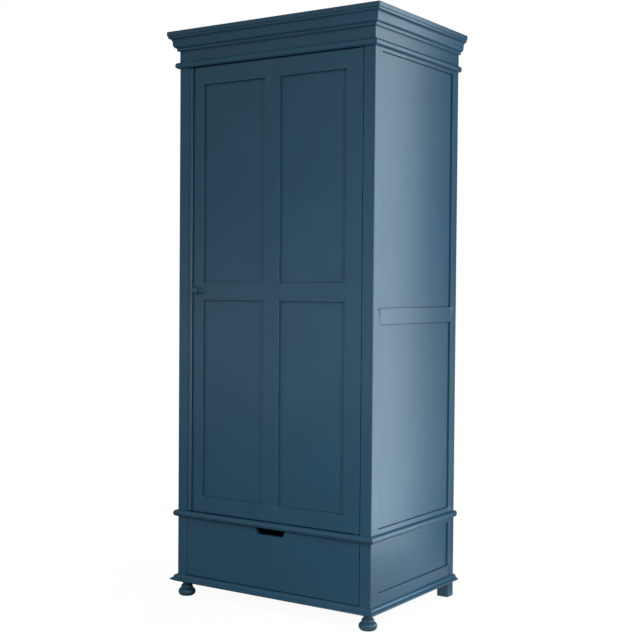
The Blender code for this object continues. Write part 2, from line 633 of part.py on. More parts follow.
def closing_stile_face(low, high):
    """The closing stile's face: flat beside the panels, then a channel, then a round bead at the edge."""
    bead_end = low + 2 * STILE_BEAD_RADIUS
    channel_end = bead_end + STILE_CHANNEL_WIDTH
    points = [(0, high), (0, channel_end), (STILE_CHANNEL_DEPTH, channel_end), (STILE_CHANNEL_DEPTH, bead_end)]
    bead_centre = (low + STILE_BEAD_RADIUS, STILE_BEAD_RADIUS)
    bead = arc(bead_centre, (STILE_BEAD_RADIUS, STILE_BEAD_RADIUS), 0, -180, BEAD_STEPS)
    return points + [(depth, across) for across, depth in bead]


def make_door(blue):
    groove = (DOOR_PANEL_RECESS, DOOR_PANEL_THICKNESS)
    left = DOOR_LEFT_X
    right = DOOR_RIGHT_X
    panel_left = left + CLOSING_STILE
    panel_right = right - DOOR_STILE
    z_range = (DOOR_LOW_Z, DOOR_HIGH_Z)
    points = framed(DOOR_THICKNESS, left, panel_left, *groove, groove_high=True,
                    front=closing_stile_face(left, panel_left))
    prism("door_stile_left", door_outline_upright(points), "Z", *z_range, blue)
    points = framed(DOOR_THICKNESS, panel_right, right, *groove, groove_low=True)
    prism("door_stile_right", door_outline_upright(points), "Z", *z_range, blue)
    rails = (
        ("bottom", DOOR_LOW_Z, DOOR_LOW_Z + DOOR_BOTTOM_RAIL, False, True),
        ("middle", DOOR_MIDDLE_RAIL_Z, DOOR_MIDDLE_RAIL_Z + DOOR_MIDDLE_RAIL, True, True),
        ("top", DOOR_HIGH_Z - DOOR_TOP_RAIL, DOOR_HIGH_Z, True, False),
    )
    for word, low, high, groove_low, groove_high in rails:
        points = framed(DOOR_THICKNESS, low, high, *groove, groove_low, groove_high)
        prism(f"door_rail_{word}", door_outline_level(points), "X", panel_left + GAP, panel_right - GAP, blue)
    levels = (("lower", rails[0][2], rails[1][1]), ("upper", rails[1][2], rails[2][1]))
    half = DOOR_MUNTIN / 2
    tongue = GROOVE_DEPTH - GAP
    panel_y = (DOOR_FACE_Y + DOOR_PANEL_RECESS, DOOR_FACE_Y + DOOR_PANEL_RECESS + DOOR_PANEL_THICKNESS)
    for level, low, high in levels:
        points = framed(DOOR_THICKNESS, -half, half, *groove, True, True)
        prism(f"door_muntin_{level}", door_outline_upright(points), "Z", low + GAP, high - GAP, blue)
        for word, start, end in (("left", panel_left, -half), ("right", half, panel_right)):
            board(f"door_panel_{level}_{word}", (start - tongue, end + tongue), panel_y,
                  (low - tongue, high + tongue), blue)


def make_door_fittings(blue, steel):
    collar_height = DOOR_GAP - GAP
    hole_radius = PIVOT_RADIUS + GAP
    profile = [
        (PIVOT_RADIUS, -DOOR_GAP - PIVOT_IN_BOARD), (PIVOT_RADIUS, -collar_height),
        (PIVOT_COLLAR_RADIUS, -collar_height), (PIVOT_COLLAR_RADIUS, -GAP),
        (PIVOT_RADIUS, -GAP), (PIVOT_RADIUS, PIVOT_IN_DOOR),
    ]
    hole_profile = [(hole_radius, -DOOR_GAP - PIVOT_IN_BOARD - GAP), (hole_radius, PIVOT_IN_DOOR + GAP)]
    for word, end_z, direction, holder in (("lower", DOOR_LOW_Z, 1, "waist_board"),
                                           ("upper", DOOR_HIGH_Z, -1, "head_board")):
        place = (PIVOT_X, PIVOT_Y, end_z)
        turned(f"door_pivot_{word}", profile, place, (0, 0, direction), PIVOT_SIDES, steel)
        hole = turned(f"cut_pivot_{word}", hole_profile, place, (0, 0, direction), PIVOT_SIDES, steel)
        cut(bpy.data.objects["door_stile_right"], hole)
        cut(bpy.data.objects[holder], hole)
    place = (KNOB_X, DOOR_FACE_Y, KNOB_Z)
    hole_radius = KNOB_SPIGOT_RADIUS + GAP
    spigot_hole = turned("cut_knob", [(hole_radius, -KNOB_SPIGOT_LENGTH - GAP), (hole_radius, GAP)],
                         place, (0, -1, 0), SPIGOT_SIDES, steel)
    cut(bpy.data.objects["door_stile_left"], spigot_hole)
    make_knob(place, blue)


def make_knob(place, blue):
    head_z = KNOB_BASE_THICKNESS + KNOB_NECK_LENGTH
    head_half = (KNOB_PROJECTION - head_z) / 2
    profile = [(KNOB_SPIGOT_RADIUS, -KNOB_SPIGOT_LENGTH), (KNOB_SPIGOT_RADIUS, GAP), (KNOB_BASE_RADIUS, GAP)]
    profile.append((KNOB_BASE_RADIUS, KNOB_BASE_THICKNESS))
    cove_width = KNOB_BASE_RADIUS - KNOB_NECK_RADIUS
    cove_centre = (KNOB_BASE_RADIUS, KNOB_BASE_THICKNESS + KNOB_NECK_LENGTH / 2)
    cove_angles = (-105, -225)
    rim_angles = (-75, 45)
    crown_angles = (50, 82)
    profile += arc(cove_centre, (cove_width, KNOB_NECK_LENGTH / 2), *cove_angles, COVE_STEPS)
    rim_centre = (KNOB_RADIUS - KNOB_RIM_ROUND, head_z + head_half)
    crown_radii = (KNOB_RADIUS * KNOB_CROWN_SHARE, head_half)
    profile += arc(rim_centre, (KNOB_RIM_ROUND, head_half * KNOB_RIM_SHARE), *rim_angles, RIM_STEPS)
    profile += arc((0, head_z + head_half), crown_radii, *crown_angles, CROWN_STEPS)
    turned("door_knob", profile, place, (0, -1, 0), KNOB_SIDES, blue)


def hang_on(name, place, prefix):
    """Parents a moving body's pieces to an empty on its joint's axis, without moving them."""
    axis = bpy.data.objects.new(name, None)
    axis.location = place
    bpy.context.scene.collection.objects.link(axis)
    for piece in bpy.data.objects:
        if piece.name.startswith(prefix):
            piece.parent = axis
            piece.matrix_parent_inverse = Matrix.Translation(place).inverted()


def main():
    for item in list(bpy.data.objects):
        bpy.data.objects.remove(item)
    blue = paint("painted pine", PAINT_BLUE, roughness=0.42)
    pine = paint("bare pine", BARE_PINE, roughness=0.60)
    beech = paint("waxed beech", WAXED_BEECH, roughness=0.45)
    steel = paint("plated steel", PLATED_STEEL, roughness=0.30, metallic=1.0)
    make_feet(blue)
    make_base(blue, pine)
    make_base_mouldings(blue)
    make_drawer(blue, pine)
    make_carcase(blue, pine)
    make_hanging_space(pine, beech)
    make_cornice(blue)
    make_door(blue)
    make_door_fittings(blue, steel)
    hang_on("hinge_axis", (PIVOT_X, PIVOT_Y, DOOR_LOW_Z), "door_")
    hang_on("slide_axis", (0, DRAWER_FACE_Y, DRAWER_SIDE_Z), "drawer_")
    make_runners(pine)


main()
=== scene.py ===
"""Dresses a painted wardrobe: rounded joinery, smooth mouldings, turned feet and knob, bare timber inside.

Metres, +Z up, and the front faces -Y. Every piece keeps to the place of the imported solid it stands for.
"""
import math

import bmesh
import bpy
from bpy.props import FloatProperty, FloatVectorProperty, IntProperty, PointerProperty
from bpy.types import Operator, Panel, PropertyGroup
from mathutils import Euler, Matrix, Vector


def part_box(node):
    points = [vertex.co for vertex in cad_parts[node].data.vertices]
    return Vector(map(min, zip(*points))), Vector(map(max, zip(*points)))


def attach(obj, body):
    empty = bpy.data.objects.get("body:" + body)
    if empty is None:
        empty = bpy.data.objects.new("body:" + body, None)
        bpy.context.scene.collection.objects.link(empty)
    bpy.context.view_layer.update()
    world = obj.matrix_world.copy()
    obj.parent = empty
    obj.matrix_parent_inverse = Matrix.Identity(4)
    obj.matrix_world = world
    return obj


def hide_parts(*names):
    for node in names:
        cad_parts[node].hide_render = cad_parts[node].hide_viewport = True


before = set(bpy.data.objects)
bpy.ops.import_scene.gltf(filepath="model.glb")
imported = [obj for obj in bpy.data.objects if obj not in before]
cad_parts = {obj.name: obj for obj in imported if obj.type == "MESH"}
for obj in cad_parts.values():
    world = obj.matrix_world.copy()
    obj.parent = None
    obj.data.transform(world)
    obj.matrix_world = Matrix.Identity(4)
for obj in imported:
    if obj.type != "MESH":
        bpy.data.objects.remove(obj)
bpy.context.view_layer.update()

bl_info = {
    "name": "Painted Wardrobe",
    "version": (1, 0, 0),
    "blender": (4, 5, 0),
    "location": "3D View > Sidebar > Wardrobe",
    "description": "Makes the finished pieces of a painted wardrobe round its packed solids",
    "category": "Add Mesh",
}

GAP = 0.0003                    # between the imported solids
TOUCH = 0.00002                 # two places closer than this are the same
MILLIMETRE = 0.001

# The carcase's main planes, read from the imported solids
POST_LOW, POST_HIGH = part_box("post_front_right")
BACK_POST_LOW, BACK_POST_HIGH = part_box("post_back_right")
STILE_LOW, STILE_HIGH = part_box("door_stile_right")
CLOSING_LOW, CLOSING_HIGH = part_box("door_stile_left")
MUNTIN_LOW, MUNTIN_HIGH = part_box("door_muntin_upper")
PANEL_LOW, PANEL_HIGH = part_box("door_panel_upper_right")
SIDE_PANEL_LOW, SIDE_PANEL_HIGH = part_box("side_panel_upper_right")
HALF_WIDTH = POST_HIGH.x
FRONT_Y = POST_LOW.y
BACK_Y = BACK_POST_HIGH.y
GROOVE_DEPTH = PANEL_HIGH.x - STILE_LOW.x + GAP
TONGUE = GROOVE_DEPTH - GAP
PIVOTS = ("door_pivot_lower", "door_pivot_upper")
AXES = "xyz"
UP = Vector((0, 0, 1))

SMOOTH_ANGLE = math.radians(38)     # faces that meet at less than this are shaded as one curve
FLAT_SHARE = 0.9995                 # a normal's share on its main axis, from which its face counts as square


def linear(code):
    """Turns an sRGB hex value such as 284D64 into a linear colour with full alpha."""
    parts = [int(code[place:place + 2], 16) / 255 for place in (0, 2, 4)]
    return [part / 12.92 if part <= 0.04045 else ((part + 0.055) / 1.055) ** 2.4 for part in parts] + [1.0]


# Sizes and colours that a user would change

def length(name, description, default):
    """A size in metres."""
    return FloatProperty(name=name, description=description, default=default, unit="LENGTH")


def angle(name, description, degrees):
    """An angle, whose default is given in degrees."""
    return FloatProperty(name=name, description=description, default=math.radians(degrees), subtype="ANGLE")


def share(name, description, default):
    """A share from none to all."""
    return FloatProperty(name=name, description=description, default=default, min=0, max=1)


def strength(name, description, default):
    """A strength of light, with no upper end."""
    return FloatProperty(name=name, description=description, default=default, min=0)


def watts(name, lamp, default):
    """The power of a lamp in watts."""
    return FloatProperty(
        name=name, description=f"Power of the {lamp}", default=default, min=0, unit="POWER")


def colour(name, description, code):
    """A colour, whose default is given as an sRGB hex value."""
    return FloatVectorProperty(
        name=name, description=description, default=linear(code), size=4, subtype="COLOR", min=0, max=1)


class WardrobeJoinery(PropertyGroup):
    """How the edges of the timber are eased, and the shapes worked on the door and the drawer."""
    arris: length("Arris", "Radius of the painted edges", 0.0012)
    meeting_arris: length(
        "Meeting arris", "Radius of the edges on both sides of the gap beside the door", 0.0004)
    corner: length("Corner", "Radius of the posts' outer corners", 0.002)
    quirk_width: length("Quirk width", "Width of the narrow groove round a side panel", 0.0012)
    wide_quirk_width: length(
        "Wide quirk width", "Width of that groove above and behind the panel, where it gapes more", 0.0022)
    door_quirk_width: length(
        "Door quirk width", "Width of the groove above and below a door panel", 0.0008)
    quirk_depth: length("Quirk depth", "Depth of the narrow grooves round the panels", 0.003)
    bare_arris: length("Bare arris", "Radius of the bare pine edges", 0.0015)
    bead_radius: length("Bead", "Radius of the bead on the closing stile", 0.0065)
    channel_width: length("Channel width", "Width of the channel beside the bead", 0.0135)
    channel_depth: length("Channel depth", "Depth of the channel beside the bead", 0.0095)
    slot_top: length("Slot top", "Width of the drawer's finger slot at the top", 0.127)
    slot_bottom: length("Slot bottom", "Width of the finger slot at the bottom", 0.109)
    slot_depth: length("Slot depth", "Depth of the finger slot", 0.0218)
    slot_round: length("Slot round", "Radius in the finger slot's corners", 0.003)
    pivot_radius: length("Pivot radius", "Radius of the door's pivot pins", 0.0035)


class WardrobeMouldings(PropertyGroup):
    """The profiles of the boards' noses, the cornice and the base moulding."""
    bead_nose: length("Bead nose", "Depth of the round on the waist and head boards", 0.009)
    top_round: length("Top round", "Radius of the top board's eased arrises", 0.0025)
    frieze: length("Frieze", "Height of the plain band under the cornice", 0.041)
    ovolo_width: length("Ovolo width", "Width of the cornice's ovolo", 0.011)
    ovolo_height: length("Ovolo height", "Height of the cornice's ovolo", 0.0145)
    belly: length("Belly", "How far the cornice's ovolo stands out", 0.019)
    belly_flat: length("Belly flat", "Height of the flat over the ovolo", 0.005)
    cove_height: length("Cove height", "Height of the cornice's cove", 0.014)
    fillet_out: length("Fillet", "How far the cornice's fillet stands out", 0.0305)
    fillet_height: length("Fillet height", "Height of the cornice's fillet", 0.0077)
    cornice_thickness: length("Cornice thickness", "Thickness of the cornice boards", 0.018)
    lip: length("Lip", "How far the base moulding's lip stands out", 0.0205)
    lip_round: length("Lip round", "Depth of the lip's round", 0.008)
    lip_height: length("Lip height", "Height of the lip's middle over the moulding's foot", 0.009)
    lip_half: length("Lip half", "Half of the lip's thickness", 0.0045)
    heel: length("Heel", "Where the base moulding's underside ends", 0.0055)
    base_ovolo_width: length("Base ovolo width", "Width of the base moulding's ovolo", 0.0105)
    base_ovolo_height: length("Base ovolo height", "Height of the base moulding's ovolo", 0.0095)
    steps: IntProperty(
        name="Steps", description="Facets in each quarter of a moulding's curve", default=8, min=2)


class WardrobeTurnings(PropertyGroup):
    """The lathe work: the front feet and the door knob."""
    sole: length("Sole", "Radius of a foot where it stands", 0.018)
    bun_half: length("Bun half height", "Height of a foot's widest place", 0.0135)
    foot_ring: length("Foot ring", "Radius of the ring over a foot's bun", 0.0213)
    foot_ring_lift: length("Foot ring lift", "Height of the ring's widest place over the bun", 0.0025)
    foot_ring_height: length("Foot ring height", "Height of the ring over its widest place", 0.0095)
    foot_neck: length("Foot neck", "Radius of a foot's straight neck", 0.015)
    foot_cove: length("Foot cove", "Radius of the hollow under a foot's neck", 0.0015)
    knob_base: length("Knob base", "Thickness of the knob's round base", 0.0035)
    knob_neck: length("Knob neck", "Radius of the knob's neck", 0.0065)
    knob_neck_length: length("Knob neck length", "Length of the knob's hollow neck", 0.0105)
    knob_head: length("Knob head", "Radius of the knob's head", 0.012)
    knob_rim: length("Knob rim", "Radius of the knob's rim", 0.0031)
    facets: IntProperty(
        name="Facets", description="Facets round a turned piece", default=64, min=12)


class WardrobeFinishes(PropertyGroup):
    """Colours and sheen of the paint, the timber and the metal."""
    paint: colour("Paint", "Satin blue paint", "264E65")
    # painted highlight: a paler blue for the eased edges, which stands in for the light they catch
    paint_edge_highlight: colour("Thin paint", "The paint on the eased edges, where it lies thinner", "31596E")
    paint_roughness: share("Paint roughness", "Sheen of the satin paint", 0.31)
    paint_specular: share("Paint specular", "Strength of the paint's sheen", 0.5)
    pine_early: colour("Pine earlywood", "Pale part of a growth ring", "E2C697")
    pine_late: colour("Pine latewood", "Dark part of a growth ring", "CB9C64")
    pine_knot: colour("Pine knot", "Middle of a knot", "6E4224")
    beech: colour("Beech", "Waxed beech", "CFA377")
    beech_fleck: colour("Beech fleck", "Flecks in the beech", "A8754B")
    zinc: colour("Zinc", "Bright zinc plating", "C3C6C9")
    catch: colour("Catch", "Moulded plastic of the door catch", "D9D5CB")


class WardrobeStudio(PropertyGroup):
    """The camera, the lamps and the white ground."""
    camera_place: FloatVectorProperty(
        name="Camera place", description="Where the camera stands", default=(2.3358, -3.4787, 1.1008),
        subtype="TRANSLATION")
    camera_yaw: angle("Yaw", "The camera's turn to the left", 33.654)
    camera_pitch: angle("Pitch", "The camera's tilt upwards", -1.539)
    camera_roll: angle("Roll", "The camera's roll", 0.455)
    camera_lens: FloatProperty(
        name="Lens", description="Focal length in millimetres on a 36 mm sensor", default=66.268,
        unit="CAMERA")
    key_power: watts("Key power", "tall strip light close to the right side", 1)
    low_power: watts("Low power", "low strip light close to the right side", 1.4)
    sheen_power: watts("Sheen power", "strip light that the right side mirrors", 13.6)
    fill_power: watts("Fill power", "softbox before the wardrobe", 3.6)
    raking_power: watts("Raking power", "strip light that rakes over the door from the right", 12)
    front_sheen_power: watts("Front sheen power", "softbox that the door mirrors", 1.0)
    back_power: watts("Back power", "softbox behind the wardrobe", 14)
    ambient: strength("Ambient", "Light from the bright room in front of the wardrobe", 1.55)
    reflected: strength("Reflected", "How bright the white ground looks in paint and metal", 0.06)
    reflected_right: strength(
        "Reflected right", "The same for the floor to the right, which the right side mirrors", 0.7)


# Modelling helpers

def start_clean():
    """Leaves edit mode and deselects everything."""
    if bpy.context.object and bpy.context.object.mode != "OBJECT":
        bpy.ops.object.mode_set(mode="OBJECT")
    bpy.ops.object.select_all(action="DESELECT")


def select_only(piece):
    """Makes a piece the active object, and the only one that is selected."""
    start_clean()
    bpy.context.view_layer.objects.active = piece
    piece.select_set(True)


def name_piece(name):
    """Names the primitive that was just added, and keeps its place in its mesh."""
    bpy.ops.object.transform_apply(location=True, rotation=True, scale=True)
    piece = bpy.context.object
    piece.name = name
    piece.data.name = name
    return piece


def board(name, low, high):
    """Adds a cube at a board's size and place."""
    low, high = Vector(low), Vector(high)
    start_clean()
    bpy.ops.mesh.primitive_cube_add(size=1, location=(low + high) / 2, scale=high - low)
    return name_piece(name)


def rod(name, start, end, radius, facets):
    """Adds a cylinder from one point to another."""
    start, end = Vector(start), Vector(end)
    turned = UP.rotation_difference(end - start).to_euler()
    start_clean()
    bpy.ops.mesh.primitive_cylinder_add(
        vertices=facets, radius=radius, depth=(end - start).length, location=(start + end) / 2,
        rotation=turned)
    return name_piece(name)


def open_mesh(piece):
    """Opens a piece in edit mode with all of it selected."""
    select_only(piece)
    bpy.ops.object.mode_set(mode="EDIT")
    bpy.ops.mesh.select_mode(type="VERT")
    bpy.ops.mesh.select_all(action="SELECT")


def close_mesh():
    """Closes the open mesh."""
    bpy.ops.object.mode_set(mode="OBJECT")


def close_outwards():
    """Turns all faces of the open mesh outwards and closes it."""
    bpy.ops.mesh.select_all(action="SELECT")
    bpy.ops.mesh.normals_make_consistent(inside=False)
    close_mesh()


def at(**places):
    """A test for an edge that lies at a place, or within a (low, high) range, on each named axis."""
    def test(edge):
        for axis, place in places.items():
            low, high = place if isinstance(place, tuple) else (place, place)
            for vertex in edge.verts:
                if not low - TOUCH <= getattr(vertex.co, axis) <= high + TOUCH:
                    return False
        return True
    return test


def split_at(piece, axis, stretches):
    """Cuts a ring of edges round a piece at both ends of each stretch, where an eased edge can stop."""
    normal = Vector([float(letter == axis) for letter in AXES])
    open_mesh(piece)
    for stretch in stretches:
        for place in stretch:
            bpy.ops.mesh.select_all(action="SELECT")
            bpy.ops.mesh.bisect(plane_co=normal * place, plane_no=normal)
    close_mesh()


def round_selected(radius, segments):
    """Rounds the selected edges of the open mesh and closes it."""
    bpy.ops.mesh.bevel(offset=radius, segments=segments, profile=0.5, affect="EDGES")
    close_mesh()


def ease(piece, radius, *tests, segments=3):
    """Rounds the edges that any of the tests accepts."""
    open_mesh(piece)
    bpy.ops.mesh.select_mode(type="EDGE")
    bpy.ops.mesh.select_all(action="DESELECT")
    mesh = bmesh.from_edit_mesh(piece.data)
    chosen = [edge for edge in mesh.edges if any(test(edge) for test in tests)]
    if not chosen:
        raise RuntimeError(f"{piece.name} has no edge to ease")
    for edge in chosen:
        edge.select_set(True)
    mesh.select_flush_mode()
    bmesh.update_edit_mesh(piece.data)
    round_selected(radius, segments)


def ease_all(piece, radius, segments=3):
    """Rounds every edge of a piece."""
    open_mesh(piece)
    round_selected(radius, segments)


def combine(piece, other, operation):
    """Cuts another solid out of a piece, or joins it on, and removes the other solid."""
    select_only(piece)
    bpy.ops.object.modifier_add(type="BOOLEAN")
    modifier = piece.modifiers[-1]
    modifier.operation = operation
    modifier.object = other
    modifier.solver = "EXACT"
    bpy.ops.object.modifier_apply(modifier=modifier.name)
    bpy.data.objects.remove(other)


def plough(piece, low, high):
    """Cuts a straight groove or rebate, given as a box, out of a piece."""
    combine(piece, board("cutter", low, high), "DIFFERENCE")


def quirks(panel, low, high, width, edges):
    """Ploughs a narrow groove into a panel's face along each named edge of a box, such as "z low"."""
    for edge in edges:
        axis, end = edge.split()
        start, stop = Vector(low), Vector(high)
        if end == "low":
            setattr(stop, axis, getattr(low, axis) + width)
        else:
            setattr(start, axis, getattr(high, axis) - width)
        plough(panel, start, stop)


def bore(piece, start, end, radius, facets=32):
    """Drills a round hole from one point to another."""
    combine(piece, rod("cutter", start, end, radius, facets), "DIFFERENCE")


def arc(centre, radii, start, end, steps):
    """Points on an ellipse from one angle to another, in degrees."""
    points = []
    for step in range(steps + 1):
        turned = math.radians(start + (end - start) * step / steps)
        points.append((centre[0] + radii[0] * math.cos(turned), centre[1] + radii[1] * math.sin(turned)))
    return points


def draw(name, points, closed=True):
    """Draws a line as by hand: one vertex is extruded from point to point, and a closed line is filled."""
    points = [Vector(point) for point in points]
    start_clean()
    bpy.ops.mesh.primitive_plane_add(size=MILLIMETRE)
    piece = name_piece(name)
    open_mesh(piece)
    bpy.ops.mesh.merge(type="CENTER")
    bpy.ops.transform.translate(value=points[0])
    for place, following in zip(points, points[1:]):
        bpy.ops.mesh.extrude_vertices_move(TRANSFORM_OT_translate={"value": following - place})
    bpy.ops.mesh.select_all(action="SELECT")
    if closed:
        bpy.ops.mesh.edge_face_add()
    close_mesh()
    if len(piece.data.vertices) != len(points):
        raise RuntimeError(f"{name} has lost a point of its outline")
    return piece


def extrude(piece, way):
    """Pushes a drawn outline out into a solid."""
    open_mesh(piece)
    bpy.ops.mesh.extrude_region_move(TRANSFORM_OT_translate={"value": Vector(way)})
    close_outwards()


def mitre(piece, corner, normal):
    """Saws a moulding off along a plane through a corner, on the side that the normal points to."""
    open_mesh(piece)
    bpy.ops.mesh.bisect(plane_co=corner, plane_no=normal, use_fill=True, clear_outer=True)
    close_outwards()


def turn(name, profile, centre, axis, facets):
    """Draws (radius, height) points and spins them round an axis, as on a lathe."""
    centre, axis = Vector(centre), Vector(axis)
    swing = UP.rotation_difference(axis).to_matrix()
    line = [centre + swing @ Vector((radius, 0, height)) for radius, height in profile]
    piece = draw(name, line, closed=False)
    open_mesh(piece)
    bpy.ops.mesh.spin(steps=facets, angle=2 * math.pi, center=centre, axis=axis)
    bpy.ops.mesh.select_all(action="SELECT")
    bpy.ops.mesh.remove_doubles(threshold=TOUCH)
    close_outwards()
    return piece


def other_side(piece, name):
    """Copies a piece to the other side of the wardrobe, with a mesh of its own."""
    select_only(piece)
    bpy.ops.object.duplicate()
    copy = bpy.context.object
    copy.name = name
    copy.data.name = name
    open_mesh(copy)
    bpy.ops.transform.resize(value=(-1, 1, 1), center_override=(0, 0, 0))
    close_outwards()
    return copy


def both_sides(piece, stem):
    """Names a right-hand piece and copies it to the left, as (word, piece) pairs."""
    piece.name = f"{stem}_right"
    piece.data.name = piece.name
    return ("left", other_side(piece, f"{stem}_left")), ("right", piece)


def finish_piece(piece, finish, body, *nodes):
    """Smooths a piece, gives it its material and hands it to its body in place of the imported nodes."""
    select_only(piece)
    bpy.ops.object.shade_smooth_by_angle(angle=SMOOTH_ANGLE)
    bpy.ops.object.modifier_add(type="WEIGHTED_NORMAL")
    piece.modifiers[-1].keep_sharp = True
    bpy.ops.object.modifier_apply(modifier=piece.modifiers[-1].name)
    piece.data.materials.clear()
    piece.data.materials.append(bpy.data.materials[finish])
    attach(piece, body)
    if nodes:
        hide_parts(*nodes)


def mark_arrises(piece):
    """Marks the faces of a square piece that face no main way, so that a painted highlight can be laid on
    them.
    """
    shares = [float(max(abs(part) for part in face.normal) < FLAT_SHARE) for face in piece.data.polygons]
    attribute = piece.data.attributes.new("arris", "FLOAT", "FACE")
    attribute.data.foreach_set("value", shares)


def finish_board(piece, run, body, *nodes):
    """Finishes a painted board whose grain runs along an axis."""
    mark_arrises(piece)
    finish_piece(piece, f"satin paint {run}", body, *nodes)


def finish_pair(piece, prefix, finisher, look, body, node):
    """Copies a right-hand piece to the left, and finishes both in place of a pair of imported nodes."""
    for word, each in both_sides(piece, f"{prefix}_{node}"):
        finisher(each, look, body, f"{node}_{word}")


# Materials

def wire(tree, node, values=None, links=None):
    """Sets a node's sockets to values or links. A node as a link's source stands for its first output."""
    for socket, value in (values or {}).items():
        node.inputs[socket].default_value = value
    for socket, source in (links or {}).items():
        tree.links.new(getattr(source, "outputs", [source])[0], node.inputs[socket])


def add_node(tree, kind, values=None, links=None, stops=None, **options):
    """Adds a shader node with its settings, socket values, links and colour stops."""
    node = tree.nodes.new(f"ShaderNode{kind}")
    for name, value in options.items():
        setattr(node, name, value)
    wire(tree, node, values, links)
    if stops:
        elements = node.color_ramp.elements
        while len(elements) < len(stops):
            elements.new(1.0)
        for element, (place, shade) in zip(elements, stops):
            element.position = place
            element.color = shade
    return node


def new_finish(name):
    """Starts a material, and returns its tree, its shader and the piece's own coordinates."""
    material = bpy.data.materials.new(name)
    material.use_nodes = True
    tree = material.node_tree
    place = add_node(tree, "TexCoord").outputs["Object"]
    return tree, tree.nodes["Principled BSDF"], place


def along(run, lengthways, sideways):
    """Features per metre on each axis, for a pattern of one length along its run and another across it."""
    return [1 / (lengthways if letter == run else sideways) for letter in AXES]


def on_axis(axis, value, other=0.0):
    """A vector with a value on one axis, and another value on the other two."""
    return [value if letter == axis else other for letter in AXES]


def tinted(shade, factor):
    """A colour made lighter or darker by a factor."""
    return [min(1.0, part * factor) for part in shade[:3]] + [1.0]


NOISE_LOW, NOISE_HIGH = 0.3, 0.7    # a noise pattern keeps almost wholly between these


def noise_stops(low, high):
    """Colour stops that spread a noise pattern from one colour to another."""
    return [(NOISE_LOW, low), (NOISE_HIGH, high)]


def noise_range(low, high):
    """A map range's values that spread a noise pattern from one value to another."""
    return {"From Min": NOISE_LOW, "From Max": NOISE_HIGH, "To Min": low, "To Max": high}


def satin_paint(run, look):
    """Sprayed satin paint over pine: an even deep blue with a soft sheen.

    The timber's growth rings show through it as faint lines along the board, and the spray leaves a
    fine orange peel. Eased edges are painted a paler blue, a painted highlight in place of the light they
    catch.
    """
    ring_width = 5 * MILLIMETRE
    ring_length = 140 * MILLIMETRE
    ring_relief = 0.006 * MILLIMETRE
    ring_sheen = 0.02                   # by how much the rings change the roughness
    peel_size = 2.5 * MILLIMETRE        # drawn three times as coarse as it is, so that it shows
    peel_relief = 0.01 * MILLIMETRE
    drift_size = 240 * MILLIMETRE
    drift = 0.05                        # by how much the colour drifts over a board
    edge_highlight_share = 0.5                    # how much of the painted highlight's colour an eased edge takes
    tree, shader, place = new_finish(f"satin paint {run}")
    cloud = add_node(tree, "TexNoise", {"Scale": 1 / drift_size, "Detail": 3.0}, {"Vector": place})
    tone = add_node(
        tree, "ValToRGB", links={"Fac": cloud},
        stops=noise_stops(tinted(look.paint, 1 - drift), tinted(look.paint, 1 + drift)))
    # painted highlight: the eased faces that mark_arrises flags take a paler blue
    edge = add_node(tree, "Attribute", attribute_name="arris").outputs["Fac"]
    edge_highlight = add_node(tree, "Math", {1: edge_highlight_share}, {0: edge}, operation="MULTIPLY")
    mixed = add_node(tree, "Mix", {7: look.paint_edge_highlight}, {0: edge_highlight, 6: tone}, data_type="RGBA")
    stretch = add_node(tree, "Mapping", {"Scale": along(run, ring_length, ring_width)}, {"Vector": place})
    grain = add_node(
        tree, "TexNoise", {"Scale": 1.0, "Detail": 2.0, "Roughness": 0.4}, {"Vector": stretch})
    peel = add_node(tree, "TexNoise", {"Scale": 1 / peel_size, "Detail": 1.0}, {"Vector": place})
    sheen = add_node(
        tree, "MapRange", noise_range(look.paint_roughness - ring_sheen, look.paint_roughness + ring_sheen),
        {"Value": grain})
    rings = add_node(tree, "Bump", {"Strength": 1.0, "Distance": ring_relief}, {"Height": grain})
    skin = add_node(
        tree, "Bump", {"Strength": 1.0, "Distance": peel_relief}, {"Height": peel, "Normal": rings})
    wire(tree, shader, {"Specular IOR Level": look.paint_specular},
         {"Base Color": mixed.outputs[2], "Roughness": sheen, "Normal": skin})


